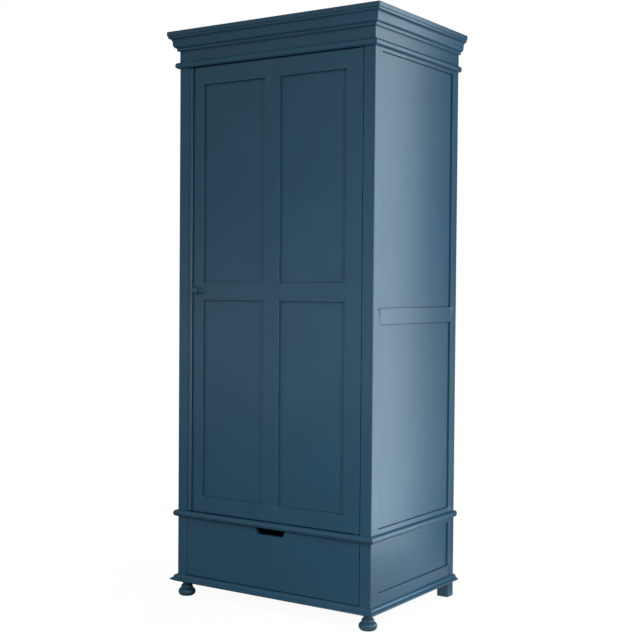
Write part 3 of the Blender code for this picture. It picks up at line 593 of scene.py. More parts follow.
def bare_pine(run, face, look):
    """Planed and lacquered pine, glued up from staves: pale wood with brown latewood lines and a few knots.

    run is the axis that the grain follows, and face the axis that the board's broad side faces. Each stave
    is cut from another part of a log, so its arched figure stands beside another one.
    """
    ring_spacing = 3.2 * MILLIMETRE
    wave_period = 0.31416               # of the wave texture at a scale of 1
    stave_width = 90 * MILLIMETRE
    log_shift = 900 * MILLIMETRE        # how far the staves are shifted along the log, at most
    side_shift = 50 * MILLIMETRE        # and across it
    heart_place = 75 * MILLIMETRE       # of the log's heart across a stave that isn't shifted
    pith_depth = 50 * MILLIMETRE        # of the heart under the board's face
    pith_tilt = math.radians(0.6)
    bend_length = 500 * MILLIMETRE      # of the log's bends
    bend_width = 160 * MILLIMETRE
    bend_depth = 14 * MILLIMETRE
    knot_spacing = 300 * MILLIMETRE
    knot_reach = 0.14                   # in knot spacings, how far the rings swell round a knot
    knot_swell = 9.0                    # by how much, as a phase of the rings
    knot_edge = (0.022, 0.034)          # in knot spacings, where a knot's dark middle ends
    fibre_width = 0.9 * MILLIMETRE      # drawn twice as wide as it is, so that it shows
    fibre_length = 40 * MILLIMETRE
    fibre_relief = 0.06 * MILLIMETRE
    lacquer_roughness = 0.48
    across = next(letter for letter in AXES if letter not in (run, face))
    tree, shader, place = new_finish(f"bare pine {run} {face}")
    parts = add_node(tree, "SeparateXYZ", links={0: place})
    stave = add_node(
        tree, "Math", {1: 1 / stave_width}, {0: parts.outputs[across.upper()]}, operation="MULTIPLY")
    number = add_node(tree, "Math", links={0: stave}, operation="FLOOR")
    chance = add_node(tree, "TexWhiteNoise", links={"W": number}, noise_dimensions="1D").outputs["Color"]
    shift = add_node(
        tree, "VectorMath", {1: on_axis(run, log_shift, side_shift)}, {0: chance}, operation="MULTIPLY")
    shifted = add_node(tree, "VectorMath", links={0: place, 1: shift}, operation="ADD")
    home = add_node(
        tree, "VectorMath", {1: on_axis(across, -stave_width)}, {0: number, 2: shifted},
        operation="MULTIPLY_ADD")
    moved = add_node(tree, "VectorMath", {1: on_axis(across, -heart_place)}, {0: home}, operation="ADD")
    wander = add_node(tree, "Mapping", {"Scale": along(run, bend_length, bend_width)}, {"Vector": moved})
    bend = add_node(tree, "TexNoise", {"Scale": 1.0, "Detail": 1.5}, {"Vector": wander}).outputs["Color"]
    warped = add_node(
        tree, "VectorMath", {1: [bend_depth] * 3}, {0: bend, 2: moved}, operation="MULTIPLY_ADD")
    pith = add_node(
        tree, "Mapping", {"Location": on_axis(face, pith_depth), "Rotation": [pith_tilt] * 3},
        {"Vector": warped})
    flat = add_node(tree, "Mapping", {"Scale": on_axis(face, 0.0, 1 / knot_spacing)}, {"Vector": moved})
    knots = add_node(tree, "TexVoronoi", {"Scale": 1.0}, {"Vector": flat})
    swell = add_node(
        tree, "MapRange", {"From Min": 0.0, "From Max": knot_reach, "To Min": knot_swell, "To Max": 0.0},
        {"Value": knots}, interpolation_type="SMOOTHSTEP")
    rings = add_node(
        tree, "TexWave", {"Scale": wave_period / ring_spacing}, {"Vector": pith, "Phase Offset": swell},
        wave_type="RINGS", rings_direction=run.upper(), wave_profile="SAW").outputs["Fac"]
    wood = add_node(
        tree, "ValToRGB", links={"Fac": rings},
        stops=[(0.0, look.pine_early), (0.45, tinted(look.pine_early, 0.93)), (0.88, look.pine_late),
               (1.0, tinted(look.pine_early, 0.97))])
    long_fibres = add_node(
        tree, "Mapping", {"Scale": along(run, fibre_length, fibre_width)}, {"Vector": place})
    fibres = add_node(tree, "TexNoise", {"Scale": 1.0, "Detail": 2.0}, {"Vector": long_fibres})
    stroke = add_node(
        tree, "ValToRGB", links={"Fac": fibres},
        stops=[(0.35, [0.88, 0.88, 0.88, 1.0]), (0.65, [1.0, 1.0, 1.0, 1.0])])
    streaked = add_node(
        tree, "Mix", {0: 1.0}, {6: wood, 7: stroke}, data_type="RGBA", blend_type="MULTIPLY").outputs[2]
    core = add_node(
        tree, "MapRange", {"From Min": knot_edge[0], "From Max": knot_edge[1], "To Min": 1.0, "To Max": 0.0},
        {"Value": knots}, interpolation_type="SMOOTHSTEP")
    mixed = add_node(tree, "Mix", {7: look.pine_knot}, {0: core, 6: streaked}, data_type="RGBA")
    relief = add_node(tree, "Bump", {"Strength": 1.0, "Distance": fibre_relief}, {"Height": fibres})
    wire(tree, shader, {"Roughness": lacquer_roughness}, {"Base Color": mixed.outputs[2], "Normal": relief})


def waxed_beech(run, look):
    """Turned and waxed beech: an even pinkish tan with short dark flecks along the grain."""
    fleck_width = 1.0 * MILLIMETRE
    fleck_length = 7 * MILLIMETRE
    fleck_edge = (0.12, 0.3)            # in flecks from a fleck's middle, where it fades
    fleck_strength = 0.7
    band_width = 4 * MILLIMETRE
    band_length = 300 * MILLIMETRE
    wax_roughness = 0.38
    tree, shader, place = new_finish("waxed beech")
    stretch = add_node(tree, "Mapping", {"Scale": along(run, fleck_length, fleck_width)}, {"Vector": place})
    flecks = add_node(tree, "TexVoronoi", {"Scale": 1.0}, {"Vector": stretch})
    wide = add_node(tree, "Mapping", {"Scale": along(run, band_length, band_width)}, {"Vector": place})
    bands = add_node(tree, "TexNoise", {"Scale": 1.0, "Detail": 2.0}, {"Vector": wide})
    tone = add_node(
        tree, "ValToRGB", links={"Fac": bands},
        stops=noise_stops(tinted(look.beech, 0.9), tinted(look.beech, 1.06)))
    dark = add_node(
        tree, "MapRange",
        {"From Min": fleck_edge[0], "From Max": fleck_edge[1], "To Min": fleck_strength, "To Max": 0.0},
        {"Value": flecks})
    mixed = add_node(tree, "Mix", {7: look.beech_fleck}, {0: dark, 6: tone}, data_type="RGBA")
    wire(tree, shader, {"Roughness": wax_roughness}, {"Base Color": mixed.outputs[2]})


def zinc_plate(look):
    """Bright zinc plating on steel: a cool grey metal whose sheen is slightly clouded."""
    cloud_size = 4 * MILLIMETRE
    bright_roughness, dull_roughness = 0.26, 0.4
    tree, shader, place = new_finish("zinc plate")
    cloud = add_node(tree, "TexNoise", {"Scale": 1 / cloud_size, "Detail": 3.0}, {"Vector": place})
    dull = add_node(tree, "MapRange", noise_range(bright_roughness, dull_roughness), {"Value": cloud})
    tone = add_node(
        tree, "ValToRGB", links={"Fac": cloud}, stops=noise_stops(tinted(look.zinc, 0.85), look.zinc))
    wire(tree, shader, {"Metallic": 1.0}, {"Base Color": tone, "Roughness": dull})


def moulded_plastic(look):
    """Moulded nylon of a door catch: off-white, slightly waxy, with the fine grain of its mould."""
    grain_size = 0.8 * MILLIMETRE
    grain_relief = 0.02 * MILLIMETRE
    moulded_roughness = 0.45
    tree, shader, place = new_finish("moulded plastic")
    grain = add_node(tree, "TexNoise", {"Scale": 1 / grain_size, "Detail": 1.0}, {"Vector": place})
    tone = add_node(
        tree, "ValToRGB", links={"Fac": grain}, stops=noise_stops(tinted(look.catch, 0.96), look.catch))
    relief = add_node(tree, "Bump", {"Strength": 0.6, "Distance": grain_relief}, {"Height": grain})
    wire(tree, shader, {"Roughness": moulded_roughness}, {"Base Color": tone, "Normal": relief})


# Operators, one for each group of like pieces

class MixFinishes(Operator):
    """Makes the paint, timber and metal materials"""
    bl_idname = "wardrobe.mix_finishes"
    bl_label = "Mix Finishes"

    def execute(self, context):
        look = context.scene.wardrobe_finishes
        for run in AXES:
            satin_paint(run, look)
        for run, face in (("z", "y"), ("y", "x"), ("x", "y"), ("x", "z"), ("y", "z")):
            bare_pine(run, face, look)
        waxed_beech("x", look)
        zinc_plate(look)
        moulded_plastic(look)
        return {"FINISHED"}


def panel_stretches(*panels):
    """The heights between which each named panel shows, without the tongues in its grooves."""
    return [(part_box(name)[0].z + TONGUE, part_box(name)[1].z - TONGUE) for name in panels]


def side_groove(piece, panel_y, stretch):
    """Ploughs the groove that a side panel's tongue sits in, into a post on the right."""
    plough(piece, (SIDE_PANEL_LOW.x - GAP, panel_y[0], stretch[0]),
           (SIDE_PANEL_HIGH.x + GAP, panel_y[1], stretch[1]))


class MakePosts(Operator):
    """Makes the eight corner posts of the base and the carcase"""
    bl_idname = "wardrobe.make_posts"
    bl_label = "Make Posts"

    def execute(self, context):
        joinery = context.scene.wardrobe_joinery
        units = (
            ("post", ("side_panel_lower_right", "side_panel_upper_right")),
            ("base_post", ("base_side_panel_right",)),
        )
        for stem, panels in units:
            self.front_posts(joinery, stem, panel_stretches(*panels))
            self.back_posts(joinery, stem, panel_stretches(*panels))
        self.door_stop(joinery)
        return {"FINISHED"}

    def door_stop(self, joinery):
        """The strip behind the left front post that the door closes against."""
        low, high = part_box("post_front_left")
        front = STILE_HIGH.y + GAP
        stop = board("painted_door_stop", (-POST_LOW.x + TOUCH, front, low.z),
                     (high.x, POST_HIGH.y, high.z))
        ease(stop, joinery.arris, at(x=high.x, y=front), at(x=high.x, y=POST_HIGH.y))
        finish_board(stop, "z", "carcase", "post_front_left")

    def front_posts(self, joinery, stem, stretches):
        """The front posts, grooved at the back for the side panels' tongues."""
        low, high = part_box(f"{stem}_front_right")
        post = board(stem, low, high)
        split_at(post, "z", stretches)
        ease(post, joinery.corner, at(x=high.x, y=low.y))
        ease(post, joinery.meeting_arris, at(x=low.x, y=low.y))
        ease(post, joinery.arris, *[at(x=high.x, y=high.y, z=stretch) for stretch in stretches])
        side_groove(post, (high.y - GROOVE_DEPTH, high.y + GROOVE_DEPTH), (low.z - GAP, high.z + GAP))
        finish_pair(post, "painted", finish_board, "z", "carcase", f"{stem}_front")

    def back_posts(self, joinery, stem, stretches):
        """The back posts, grooved in front for the side panels and rebated behind for the back panel."""
        low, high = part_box(f"{stem}_back_right")
        panel_low, panel_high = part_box("back_panel" if stem == "post" else "base_back_panel")
        post = board(stem, low, high)
        split_at(post, "z", stretches)
        ease(post, joinery.corner, at(x=high.x, y=high.y))
        ease(post, joinery.arris, *[at(x=high.x, y=low.y, z=stretch) for stretch in stretches])
        groove_low = max(low.z - GAP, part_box("base_side_panel_right")[0].z - GAP)
        side_groove(post, (low.y - GROOVE_DEPTH, low.y + GROOVE_DEPTH), (groove_low, high.z + GAP))
        plough(post, (low.x - GAP, panel_low.y - GAP, panel_low.z - GAP),
               (panel_high.x + GAP, high.y + GAP, panel_high.z + GAP))
        finish_pair(post, "painted", finish_board, "z", "carcase", f"{stem}_back")


class MakeSideFrames(Operator):
    """Makes the rails and panels of both sides"""
    bl_idname = "wardrobe.make_side_frames"
    bl_label = "Make Side Frames"

    def execute(self, context):
        joinery = context.scene.wardrobe_joinery
        rails = (
            ("side_rail_top", True, False),
            ("side_rail_middle", True, True),
            ("side_rail_bottom", False, True),
            ("base_side_rail_upper", True, False),
            ("base_side_rail_lower", False, True),
        )
        for stem, panel_below, panel_above in rails:
            self.rail(joinery, stem, panel_below, panel_above)
        for stem in ("side_panel_upper", "side_panel_lower", "base_side_panel"):
            panel = board(stem, *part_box(f"{stem}_right"))
            ease_all(panel, joinery.arris, 2)
            low = Vector((SIDE_PANEL_HIGH.x - joinery.quirk_depth, POST_HIGH.y, 0))
            high = Vector((SIDE_PANEL_HIGH.x + GAP, BACK_POST_LOW.y, 0))
            low.z, high.z = panel_stretches(f"{stem}_right")[0]
            quirks(panel, low, high, joinery.quirk_width, ("y low", "z low"))
            quirks(panel, low, high, joinery.wide_quirk_width, ("y high", "z high"))
            finish_pair(panel, "painted", finish_board, "z", "carcase", stem)
        return {"FINISHED"}

    def rail(self, joinery, stem, panel_below, panel_above):
        """The rails of one height, grooved and eased where a panel meets them."""
        low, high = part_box(f"{stem}_right")
        reach = Vector((0, GAP, 0))
        rail = board(stem, low - reach, high + reach)
        heights = [height for panelled, height in ((panel_below, low.z), (panel_above, high.z)) if panelled]
        ease(rail, joinery.arris, *[at(x=face, z=height) for height in heights for face in (low.x, high.x)])
        for height in heights:
            plough(rail, (SIDE_PANEL_LOW.x - GAP, low.y - GAP, height - GROOVE_DEPTH),
                   (SIDE_PANEL_HIGH.x + GAP, high.y + GAP, height + GROOVE_DEPTH))
        finish_pair(rail, "painted", finish_board, "y", "carcase", stem)


def nosed_edge(low, high, nose, steps):
    """The half-round edge of a board, as (half width, height) points from below up."""
    half = (high.z - low.z) / 2
    return arc((high.x - nose, low.z + half), (nose, half), -90, 90, 2 * steps)


def eased_edge(low, high, radius, steps):
    """The flat edge of a board with rounded arrises, as (half width, height) points from below up."""
    points = arc((high.x - radius, low.z + radius), (radius, radius), -90, 0, steps)
    return points + arc((high.x - radius, high.z - radius), (radius, radius), 0, 90, steps)


def edged_board(name, low, high, edge):
    """Raises a board from its underside ring by ring, so that its front and side edges take a shape."""
    start_clean()
    width, depth = 2 * edge[0][0], high.y - low.y - high.x + edge[0][0]
    bpy.ops.mesh.primitive_plane_add(size=1, location=(0, high.y - depth / 2, low.z))
    piece = name_piece(name)
    bpy.context.view_layer.update()
    open_mesh(piece)
    bpy.ops.transform.resize(value=(width, depth, 1), center_override=(0, high.y - depth / 2, low.z))
    for (out, height), (next_out, next_height) in zip(edge, edge[1:]):
        near_depth = high.y - low.y - high.x + out
        far_depth = high.y - low.y - high.x + next_out
        bpy.ops.mesh.extrude_region_move(TRANSFORM_OT_translate={"value": (0, 0, next_height - height)})
        bpy.ops.transform.resize(value=(next_out / out, far_depth / near_depth, 1),
                                 center_override=(0, high.y, next_height))
    close_outwards()
    return piece


def pivot_hole(piece, node, radius):
    """Bores the hole that a pivot pin sits in, through the stretch where the pin and the piece meet."""
    pin_low, pin_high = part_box(node)
    centre = (pin_low + pin_high) / 2
    bore(piece, (centre.x, centre.y, pin_low.z - GAP), (centre.x, centre.y, pin_high.z + GAP), radius + GAP)


class MakeNosedBoards(Operator):
    """Makes the waist, head and top boards with their rounded front and side edges"""
    bl_idname = "wardrobe.make_nosed_boards"
    bl_label = "Make Nosed Boards"

    def execute(self, context):
        mouldings = context.scene.wardrobe_mouldings
        steps = mouldings.steps
        for node, pin in zip(("waist_board", "head_board"), PIVOTS):
            low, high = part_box(node)
            edge = nosed_edge(low, high, mouldings.bead_nose, steps)
            piece = edged_board(f"painted_{node}", low, high, edge)
            pivot_hole(piece, pin, context.scene.wardrobe_joinery.pivot_radius)
            finish_piece(piece, "satin paint x", "carcase", node)
        low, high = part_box("top_board")
        low.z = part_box("cornice_front")[1].z + GAP
        top = edged_board("painted_top_board", low, high, eased_edge(low, high, mouldings.top_round, steps))
        finish_piece(top, "satin paint x", "carcase", "top_board")
        self.cornice_back(mouldings.cornice_thickness, context.scene.wardrobe_joinery.arris)
        return {"FINISHED"}

    def cornice_back(self, thickness, arris):
        """The plain rail that closes the cornice at the back, under the top board."""
        low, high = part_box("cornice_right")
        half = HALF_WIDTH - thickness - TOUCH
        rail = board("painted_cornice_back", (-half, BACK_Y - thickness, low.z), (half, BACK_Y, high.z))
        ease(rail, arris, at(y=BACK_Y, z=low.z), at(y=BACK_Y, z=high.z))
        finish_board(rail, "x", "carcase", "top_board")


def run_moulding(name, section, way):
    """Runs a (projection, height) section along the front or the right side, mitred at the front corners."""
    past = 0.06                         # how far it runs past a corner before the mitre is sawn
    if way == "front":
        start_x = -HALF_WIDTH - past
        piece = draw(name, [(start_x, FRONT_Y - out, height) for out, height in section])
        extrude(piece, (-2 * start_x, 0, 0))
        for side in (-1, 1):
            mitre(piece, (side * HALF_WIDTH, FRONT_Y, 0), (side, 1, 0))
    else:
        piece = draw(name, [(HALF_WIDTH + out, BACK_Y, height) for out, height in section])
        extrude(piece, (0, FRONT_Y - BACK_Y - past, 0))
        mitre(piece, (HALF_WIDTH, FRONT_Y, 0), (-1, -1, 0))
    return piece


def mould_round(section, node):
    """Runs a section along the front and both sides, and finishes the three pieces."""
    front = run_moulding(f"painted_{node}_front", section, "front")
    finish_piece(front, "satin paint x", "carcase", f"{node}_front")
    side = run_moulding(node, section, "side")
    finish_pair(side, "painted", finish_piece, "satin paint y", "carcase", node)


class MakeCornice(Operator):
    """Makes the cornice: a plain frieze, an ovolo, a cove and a fillet, mitred at the front corners"""
    bl_idname = "wardrobe.make_cornice"
    bl_label = "Make Cornice"

    def execute(self, context):
        arris = context.scene.wardrobe_joinery.arris
        mould_round(self.section(context.scene.wardrobe_mouldings, arris), "cornice")
        return {"FINISHED"}

    def section(self, shape, arris):
        """The cornice's outline, from its back round its foot to its top edge."""
        low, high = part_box("cornice_front")
        steps = shape.steps
        fillet_z = high.z + GAP - shape.fillet_height
        belly_z = fillet_z - shape.cove_height
        ovolo_z = belly_z - shape.belly_flat
        frieze_z = low.z - GAP + shape.frieze
        cove_width = shape.fillet_out - shape.belly
        cove_radius = (cove_width ** 2 + shape.cove_height ** 2) / (2 * cove_width)
        cove_angle = math.degrees(math.asin(shape.cove_height / cove_radius))
        round_by = arris / 2
        ovolo_x = shape.belly - shape.ovolo_width
        points = [(-shape.cornice_thickness, high.z), (-shape.cornice_thickness, low.z), (0, low.z),
                  (0, frieze_z), (ovolo_x, frieze_z)]
        points += arc((ovolo_x, ovolo_z), (shape.ovolo_width, shape.ovolo_height), -90, 0, steps)
        points += arc((shape.belly + cove_radius, belly_z), (cove_radius, cove_radius),
                      180, 180 - cove_angle, steps)[:-1]
        points += arc((shape.fillet_out - round_by, fillet_z + round_by), (round_by, round_by), -45, 0, 2)
        points.append((shape.fillet_out, high.z))
        return points


class MakeBaseMouldings(Operator):
    """Makes the moulding round the foot of the base, and the rail behind it under the drawer"""
    bl_idname = "wardrobe.make_base_mouldings"
    bl_label = "Make Base Mouldings"

    def execute(self, context):
        mould_round(self.section(context.scene.wardrobe_mouldings), "base_moulding")
        low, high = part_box("base_moulding_front")
        half = POST_LOW.x - TOUCH
        rail = board("painted_drawer_rail", (-half, FRONT_Y, low.z), (half, high.y, high.z))
        ease(rail, context.scene.wardrobe_joinery.arris, at(y=FRONT_Y, z=high.z), at(y=high.y, z=high.z))
        finish_board(rail, "x", "carcase", "base_moulding_front")
        return {"FINISHED"}

    def section(self, shape):
        """The base moulding's outline, from its back over its ovolo and lip to its heel."""
        low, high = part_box("base_moulding_left")
        ovolo_z = high.z - shape.base_ovolo_height
        points = [(0, low.z), (0, high.z)]
        points += arc((GAP, ovolo_z), (shape.base_ovolo_width, shape.base_ovolo_height), 90, 0, shape.steps)
        points += arc((shape.lip - shape.lip_round, low.z + shape.lip_height),
                      (shape.lip_round, shape.lip_half), 70, -60, 2 * shape.steps)
        points.append((shape.heel, low.z))
        return points


class MakeFeet(Operator):
    """Turns the two front feet"""
    bl_idname = "wardrobe.make_feet"
    bl_label = "Make Feet"

    def execute(self, context):
        shape = context.scene.wardrobe_turnings
        steps = context.scene.wardrobe_mouldings.steps
        low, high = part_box("foot_front_right")
        centre = ((low.x + high.x) / 2, (low.y + high.y) / 2, low.z)
        bun_width = (high.x - low.x) / 2 - shape.sole
        ring_z = 2 * shape.bun_half + shape.foot_ring_lift
        cove_z = ring_z + shape.foot_ring_height + shape.foot_cove
        profile = [(0, 0), (shape.sole, 0)]
        profile += arc((shape.sole, shape.bun_half), (bun_width, shape.bun_half), -84, 60, 3 * steps)
        profile += arc((shape.foot_neck, ring_z),
                       (shape.foot_ring - shape.foot_neck, shape.foot_ring_height), -15, 78, 2 * steps)
        profile += arc((shape.foot_neck + shape.foot_cove, cove_z), (shape.foot_cove, shape.foot_cove),
                       -105, -180, steps)
        profile += [(shape.foot_neck, high.z), (0, high.z)]
        foot = turn("foot", profile, centre, UP, shape.facets)
        finish_pair(foot, "painted", finish_piece, "satin paint z", "carcase", "foot_front")
        return {"FINISHED"}


def door_groove(piece, low, high):
    """Ploughs a groove for the door's panels, given by its place across the door and up it."""
    plough(piece, (low[0], PANEL_LOW.y - GAP, low[1]), (high[0], PANEL_HIGH.y + GAP, high[1]))


class MakeDoorFrame(Operator):
    """Makes the door's stiles, rails and muntins, with a bead and a channel down the closing stile"""
    bl_idname = "wardrobe.make_door_frame"
    bl_label = "Make Door Frame"

    def execute(self, context):
        joinery = context.scene.wardrobe_joinery
        self.stretches = panel_stretches("door_panel_lower_right", "door_panel_upper_right")
        self.hanging_stile(joinery)
        self.closing_stile(joinery)
        rails = (("bottom", False, True), ("middle", True, True), ("top", True, False))
        for rail in rails:
            self.rail(joinery, *rail)
        for level in ("lower", "upper"):
            self.muntin(joinery, level)
        return {"FINISHED"}

    def inner_edges(self, edge_x, *faces):
        """Tests for a stile's edges beside the panels."""
        return [at(x=edge_x, y=face, z=stretch) for stretch in self.stretches for face in faces]

    def hanging_stile(self, joinery):
        """The right stile, which turns on the pivots."""
        low, high = STILE_LOW, STILE_HIGH
        stile = board("painted_door_stile_right", low, high)
        split_at(stile, "z", self.stretches)
        inner = self.inner_edges(low.x, low.y, high.y)
        ends = [at(y=low.y, z=end) for end in (low.z, high.z)]
        ease(stile, joinery.arris, at(x=high.x, y=high.y), *inner, *ends)
        ease(stile, joinery.meeting_arris, at(x=high.x, y=low.y))
        door_groove(stile, (low.x - GROOVE_DEPTH, low.z - GAP), (low.x + GROOVE_DEPTH, high.z + GAP))
        for pin in PIVOTS:
            pivot_hole(stile, pin, joinery.pivot_radius)
        finish_board(stile, "z", "door", "door_stile_right")

    def closing_stile(self, joinery):
        """The left stile, with a bead and a channel worked on its outer edge."""
        low, high = CLOSING_LOW, CLOSING_HIGH
        radius = joinery.bead_radius
        bead_end = low.x + 2 * radius
        channel_end = bead_end + joinery.channel_width
        channel_y = low.y + joinery.channel_depth
        points = [(high.x, low.y), (channel_end, low.y), (channel_end, channel_y), (bead_end, channel_y)]
        points += arc((bead_end - radius, low.y + radius), (radius, radius), 0, -90, steps=12)
        points += [(low.x, low.y), (low.x, high.y), (high.x, high.y)]
        stile = draw("painted_door_stile_left", [(x, y, low.z) for x, y in points])
        extrude(stile, (0, 0, high.z - low.z))
        split_at(stile, "z", self.stretches)
        inner = self.inner_edges(high.x, low.y, high.y)
        ease(stile, joinery.arris, at(x=channel_end, y=low.y), at(x=low.x, y=high.y), *inner)
        ease(stile, joinery.arris / 2, at(x=low.x, y=low.y))
        door_groove(stile, (high.x - GROOVE_DEPTH, low.z - GAP), (high.x + GROOVE_DEPTH, high.z + GAP))
        finish_board(stile, "z", "door", "door_stile_left")

    def rail(self, joinery, word, panel_below, panel_above):
        """A rail, grooved and eased where a panel meets it."""
        low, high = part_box(f"door_rail_{word}")
        reach = Vector((GAP, 0, 0))
        rail = board(f"painted_door_rail_{word}", low - reach, high + reach)
        split_at(rail, "x", [(MUNTIN_LOW.x, MUNTIN_HIGH.x)])
        bays = [(low.x - GAP, MUNTIN_LOW.x), (MUNTIN_HIGH.x, high.x + GAP)]
        sides = ((panel_below, low.z), (panel_above, high.z))
        whole = [(low.x - GAP, high.x + GAP)]
        ease(rail, joinery.arris, *[
            at(x=stretch, y=face, z=height) for panelled, height in sides for face in (low.y, high.y)
            for stretch in (bays if panelled else whole)])
        for panelled, height in sides:
            if panelled:
                door_groove(rail, (low.x - GAP, height - GROOVE_DEPTH),
                            (high.x + GAP, height + GROOVE_DEPTH))
        finish_board(rail, "x", "door", f"door_rail_{word}")

    def muntin(self, joinery, level):
        """The upright between two panels, grooved on both sides."""
        low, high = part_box(f"door_muntin_{level}")
        reach = Vector((0, 0, GAP))
        muntin = board(f"painted_door_muntin_{level}", low - reach, high + reach)
        edges = [at(x=edge, y=face) for edge in (low.x, high.x) for face in (low.y, high.y)]
        ease(muntin, joinery.arris, *edges)
        for edge in (low.x, high.x):
            door_groove(muntin, (edge - GROOVE_DEPTH, low.z - GAP), (edge + GROOVE_DEPTH, high.z + GAP))
        finish_board(muntin, "z", "door", f"door_muntin_{level}")


class MakeDoorPanels(Operator):
    """Makes the four flat panels of the door"""
    bl_idname = "wardrobe.make_door_panels"
    bl_label = "Make Door Panels"

    def execute(self, context):
        joinery = context.scene.wardrobe_joinery
        for level in ("lower", "upper"):
            for word in ("left", "right"):
                node = f"door_panel_{level}_{word}"
                low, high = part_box(node)
                panel = board(f"painted_{node}", low, high)
                ease_all(panel, joinery.arris, 2)
                quirks(panel, Vector((low.x + TONGUE, low.y - GAP, low.z + TONGUE)),
                       Vector((high.x - TONGUE, low.y + joinery.quirk_depth, high.z - TONGUE)),
                       joinery.door_quirk_width, ("z low", "z high"))
                finish_board(panel, "z", "door", node)
        return {"FINISHED"}


class MakeKnob(Operator):
    """Turns the door knob"""
    bl_idname = "wardrobe.make_knob"
    bl_label = "Make Knob"

    def execute(self, context):
        shape = context.scene.wardrobe_turnings
        steps = context.scene.wardrobe_mouldings.steps
        low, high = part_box("door_knob")
        centre = ((low.x + high.x) / 2, STILE_LOW.y, (low.z + high.z) / 2)
        base_radius = (high.x - low.x) / 2
        reach = STILE_LOW.y - low.y
        neck_top = shape.knob_base + shape.knob_neck_length
        head_half = (reach - neck_top) / 2
        head_z = neck_top + head_half
        rim_share, crown_share = 0.72, 0.98     # of the head's half height and of its radius
        base_round = shape.knob_base / 2
        profile = [(0, GAP), (base_radius - base_round, GAP)]
        profile += arc((base_radius - base_round, base_round + GAP), (base_round, base_round - GAP),
                       -90, 90, steps)
        profile += arc((base_radius, shape.knob_base + shape.knob_neck_length / 2),
                       (base_radius - shape.knob_neck, shape.knob_neck_length / 2), -115, -225, 2 * steps)
        profile += arc((shape.knob_head - shape.knob_rim, head_z), (shape.knob_rim, head_half * rim_share),
                       -75, 45, steps)
        profile += arc((0, head_z), (shape.knob_head * crown_share, head_half), 50, 89, steps)
        profile.append((0, reach))
        knob = turn("painted_door_knob", profile, centre, (0, -1, 0), shape.facets)
        finish_piece(knob, "satin paint z", "door", "door_knob")
        return {"FINISHED"}


def rounded(points, radius, steps):
    """Rounds the inner points of an open line with an arc of a few steps."""
    line = [Vector(points[0])]
    for before, corner, after in zip(points, points[1:], points[2:]):
        corner = Vector(corner)
        start = corner + (Vector(before) - corner).normalized() * radius
        end = corner + (Vector(after) - corner).normalized() * radius
        for step in range(steps + 1):
            done = step / steps
            line.append(start * (1 - done) ** 2 + corner * 2 * done * (1 - done) + end * done ** 2)
    return line + [Vector(points[-1])]


class MakeDrawer(Operator):
    """Makes the drawer: its front with a finger slot, sides, back and bottom"""
    bl_idname = "wardrobe.make_drawer"
    bl_label = "Make Drawer"

    def execute(self, context):
        joinery = context.scene.wardrobe_joinery
        self.front(joinery)
        low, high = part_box("drawer_side_right")
        bottom_low, bottom_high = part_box("drawer_bottom")
        side = board("drawer_side", low, high)
        ease(side, joinery.bare_arris, at(x=low.x, z=high.z), at(x=high.x, z=high.z))
        plough(side, (low.x - GAP, low.y - GAP, bottom_low.z - GAP),
               (bottom_high.x + GAP, high.y + GAP, bottom_high.z + GAP))
        finish_pair(side, "pine", finish_piece, "bare pine y x", "drawer", "drawer_side")
        low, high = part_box("drawer_back")
        back = board("pine_drawer_back", low, high)
        ease(back, joinery.bare_arris, at(y=low.y, z=high.z), at(y=high.y, z=high.z))
        finish_piece(back, "bare pine x y", "drawer", "drawer_back")
        bottom = board("pine_drawer_bottom", bottom_low, bottom_high)
        ease_all(bottom, joinery.arris / 2, 2)
        finish_piece(bottom, "bare pine x z", "drawer", "drawer_bottom")
        return {"FINISHED"}

    def front(self, joinery):
        """The drawer's front, with a finger slot in its top edge and a groove for the bottom."""
        low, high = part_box("drawer_front")
        bottom_low, bottom_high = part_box("drawer_bottom")
        slot_z = high.z - joinery.slot_depth
        top, bottom, past = joinery.slot_top / 2, joinery.slot_bottom / 2, 2 * joinery.slot_round
        slot = [(top + past, high.z), (top, high.z), (bottom, slot_z),
                (-bottom, slot_z), (-top, high.z), (-top - past, high.z)]
        line = [(low.x, low.z), (high.x, low.z), (high.x, high.z),
                *rounded(slot, joinery.slot_round, steps=5), (low.x, high.z)]
        front = draw("painted_drawer_front", [(x, low.y, z) for x, z in line])
        extrude(front, (0, high.y - low.y, 0))
        ease(front, joinery.arris, at(y=low.y), at(y=high.y))
        plough(front, (bottom_low.x - GAP, bottom_low.y - GAP, bottom_low.z - GAP),
               (bottom_high.x + GAP, high.y + GAP, bottom_high.z + GAP))
        finish_board(front, "x", "drawer", "drawer_front")


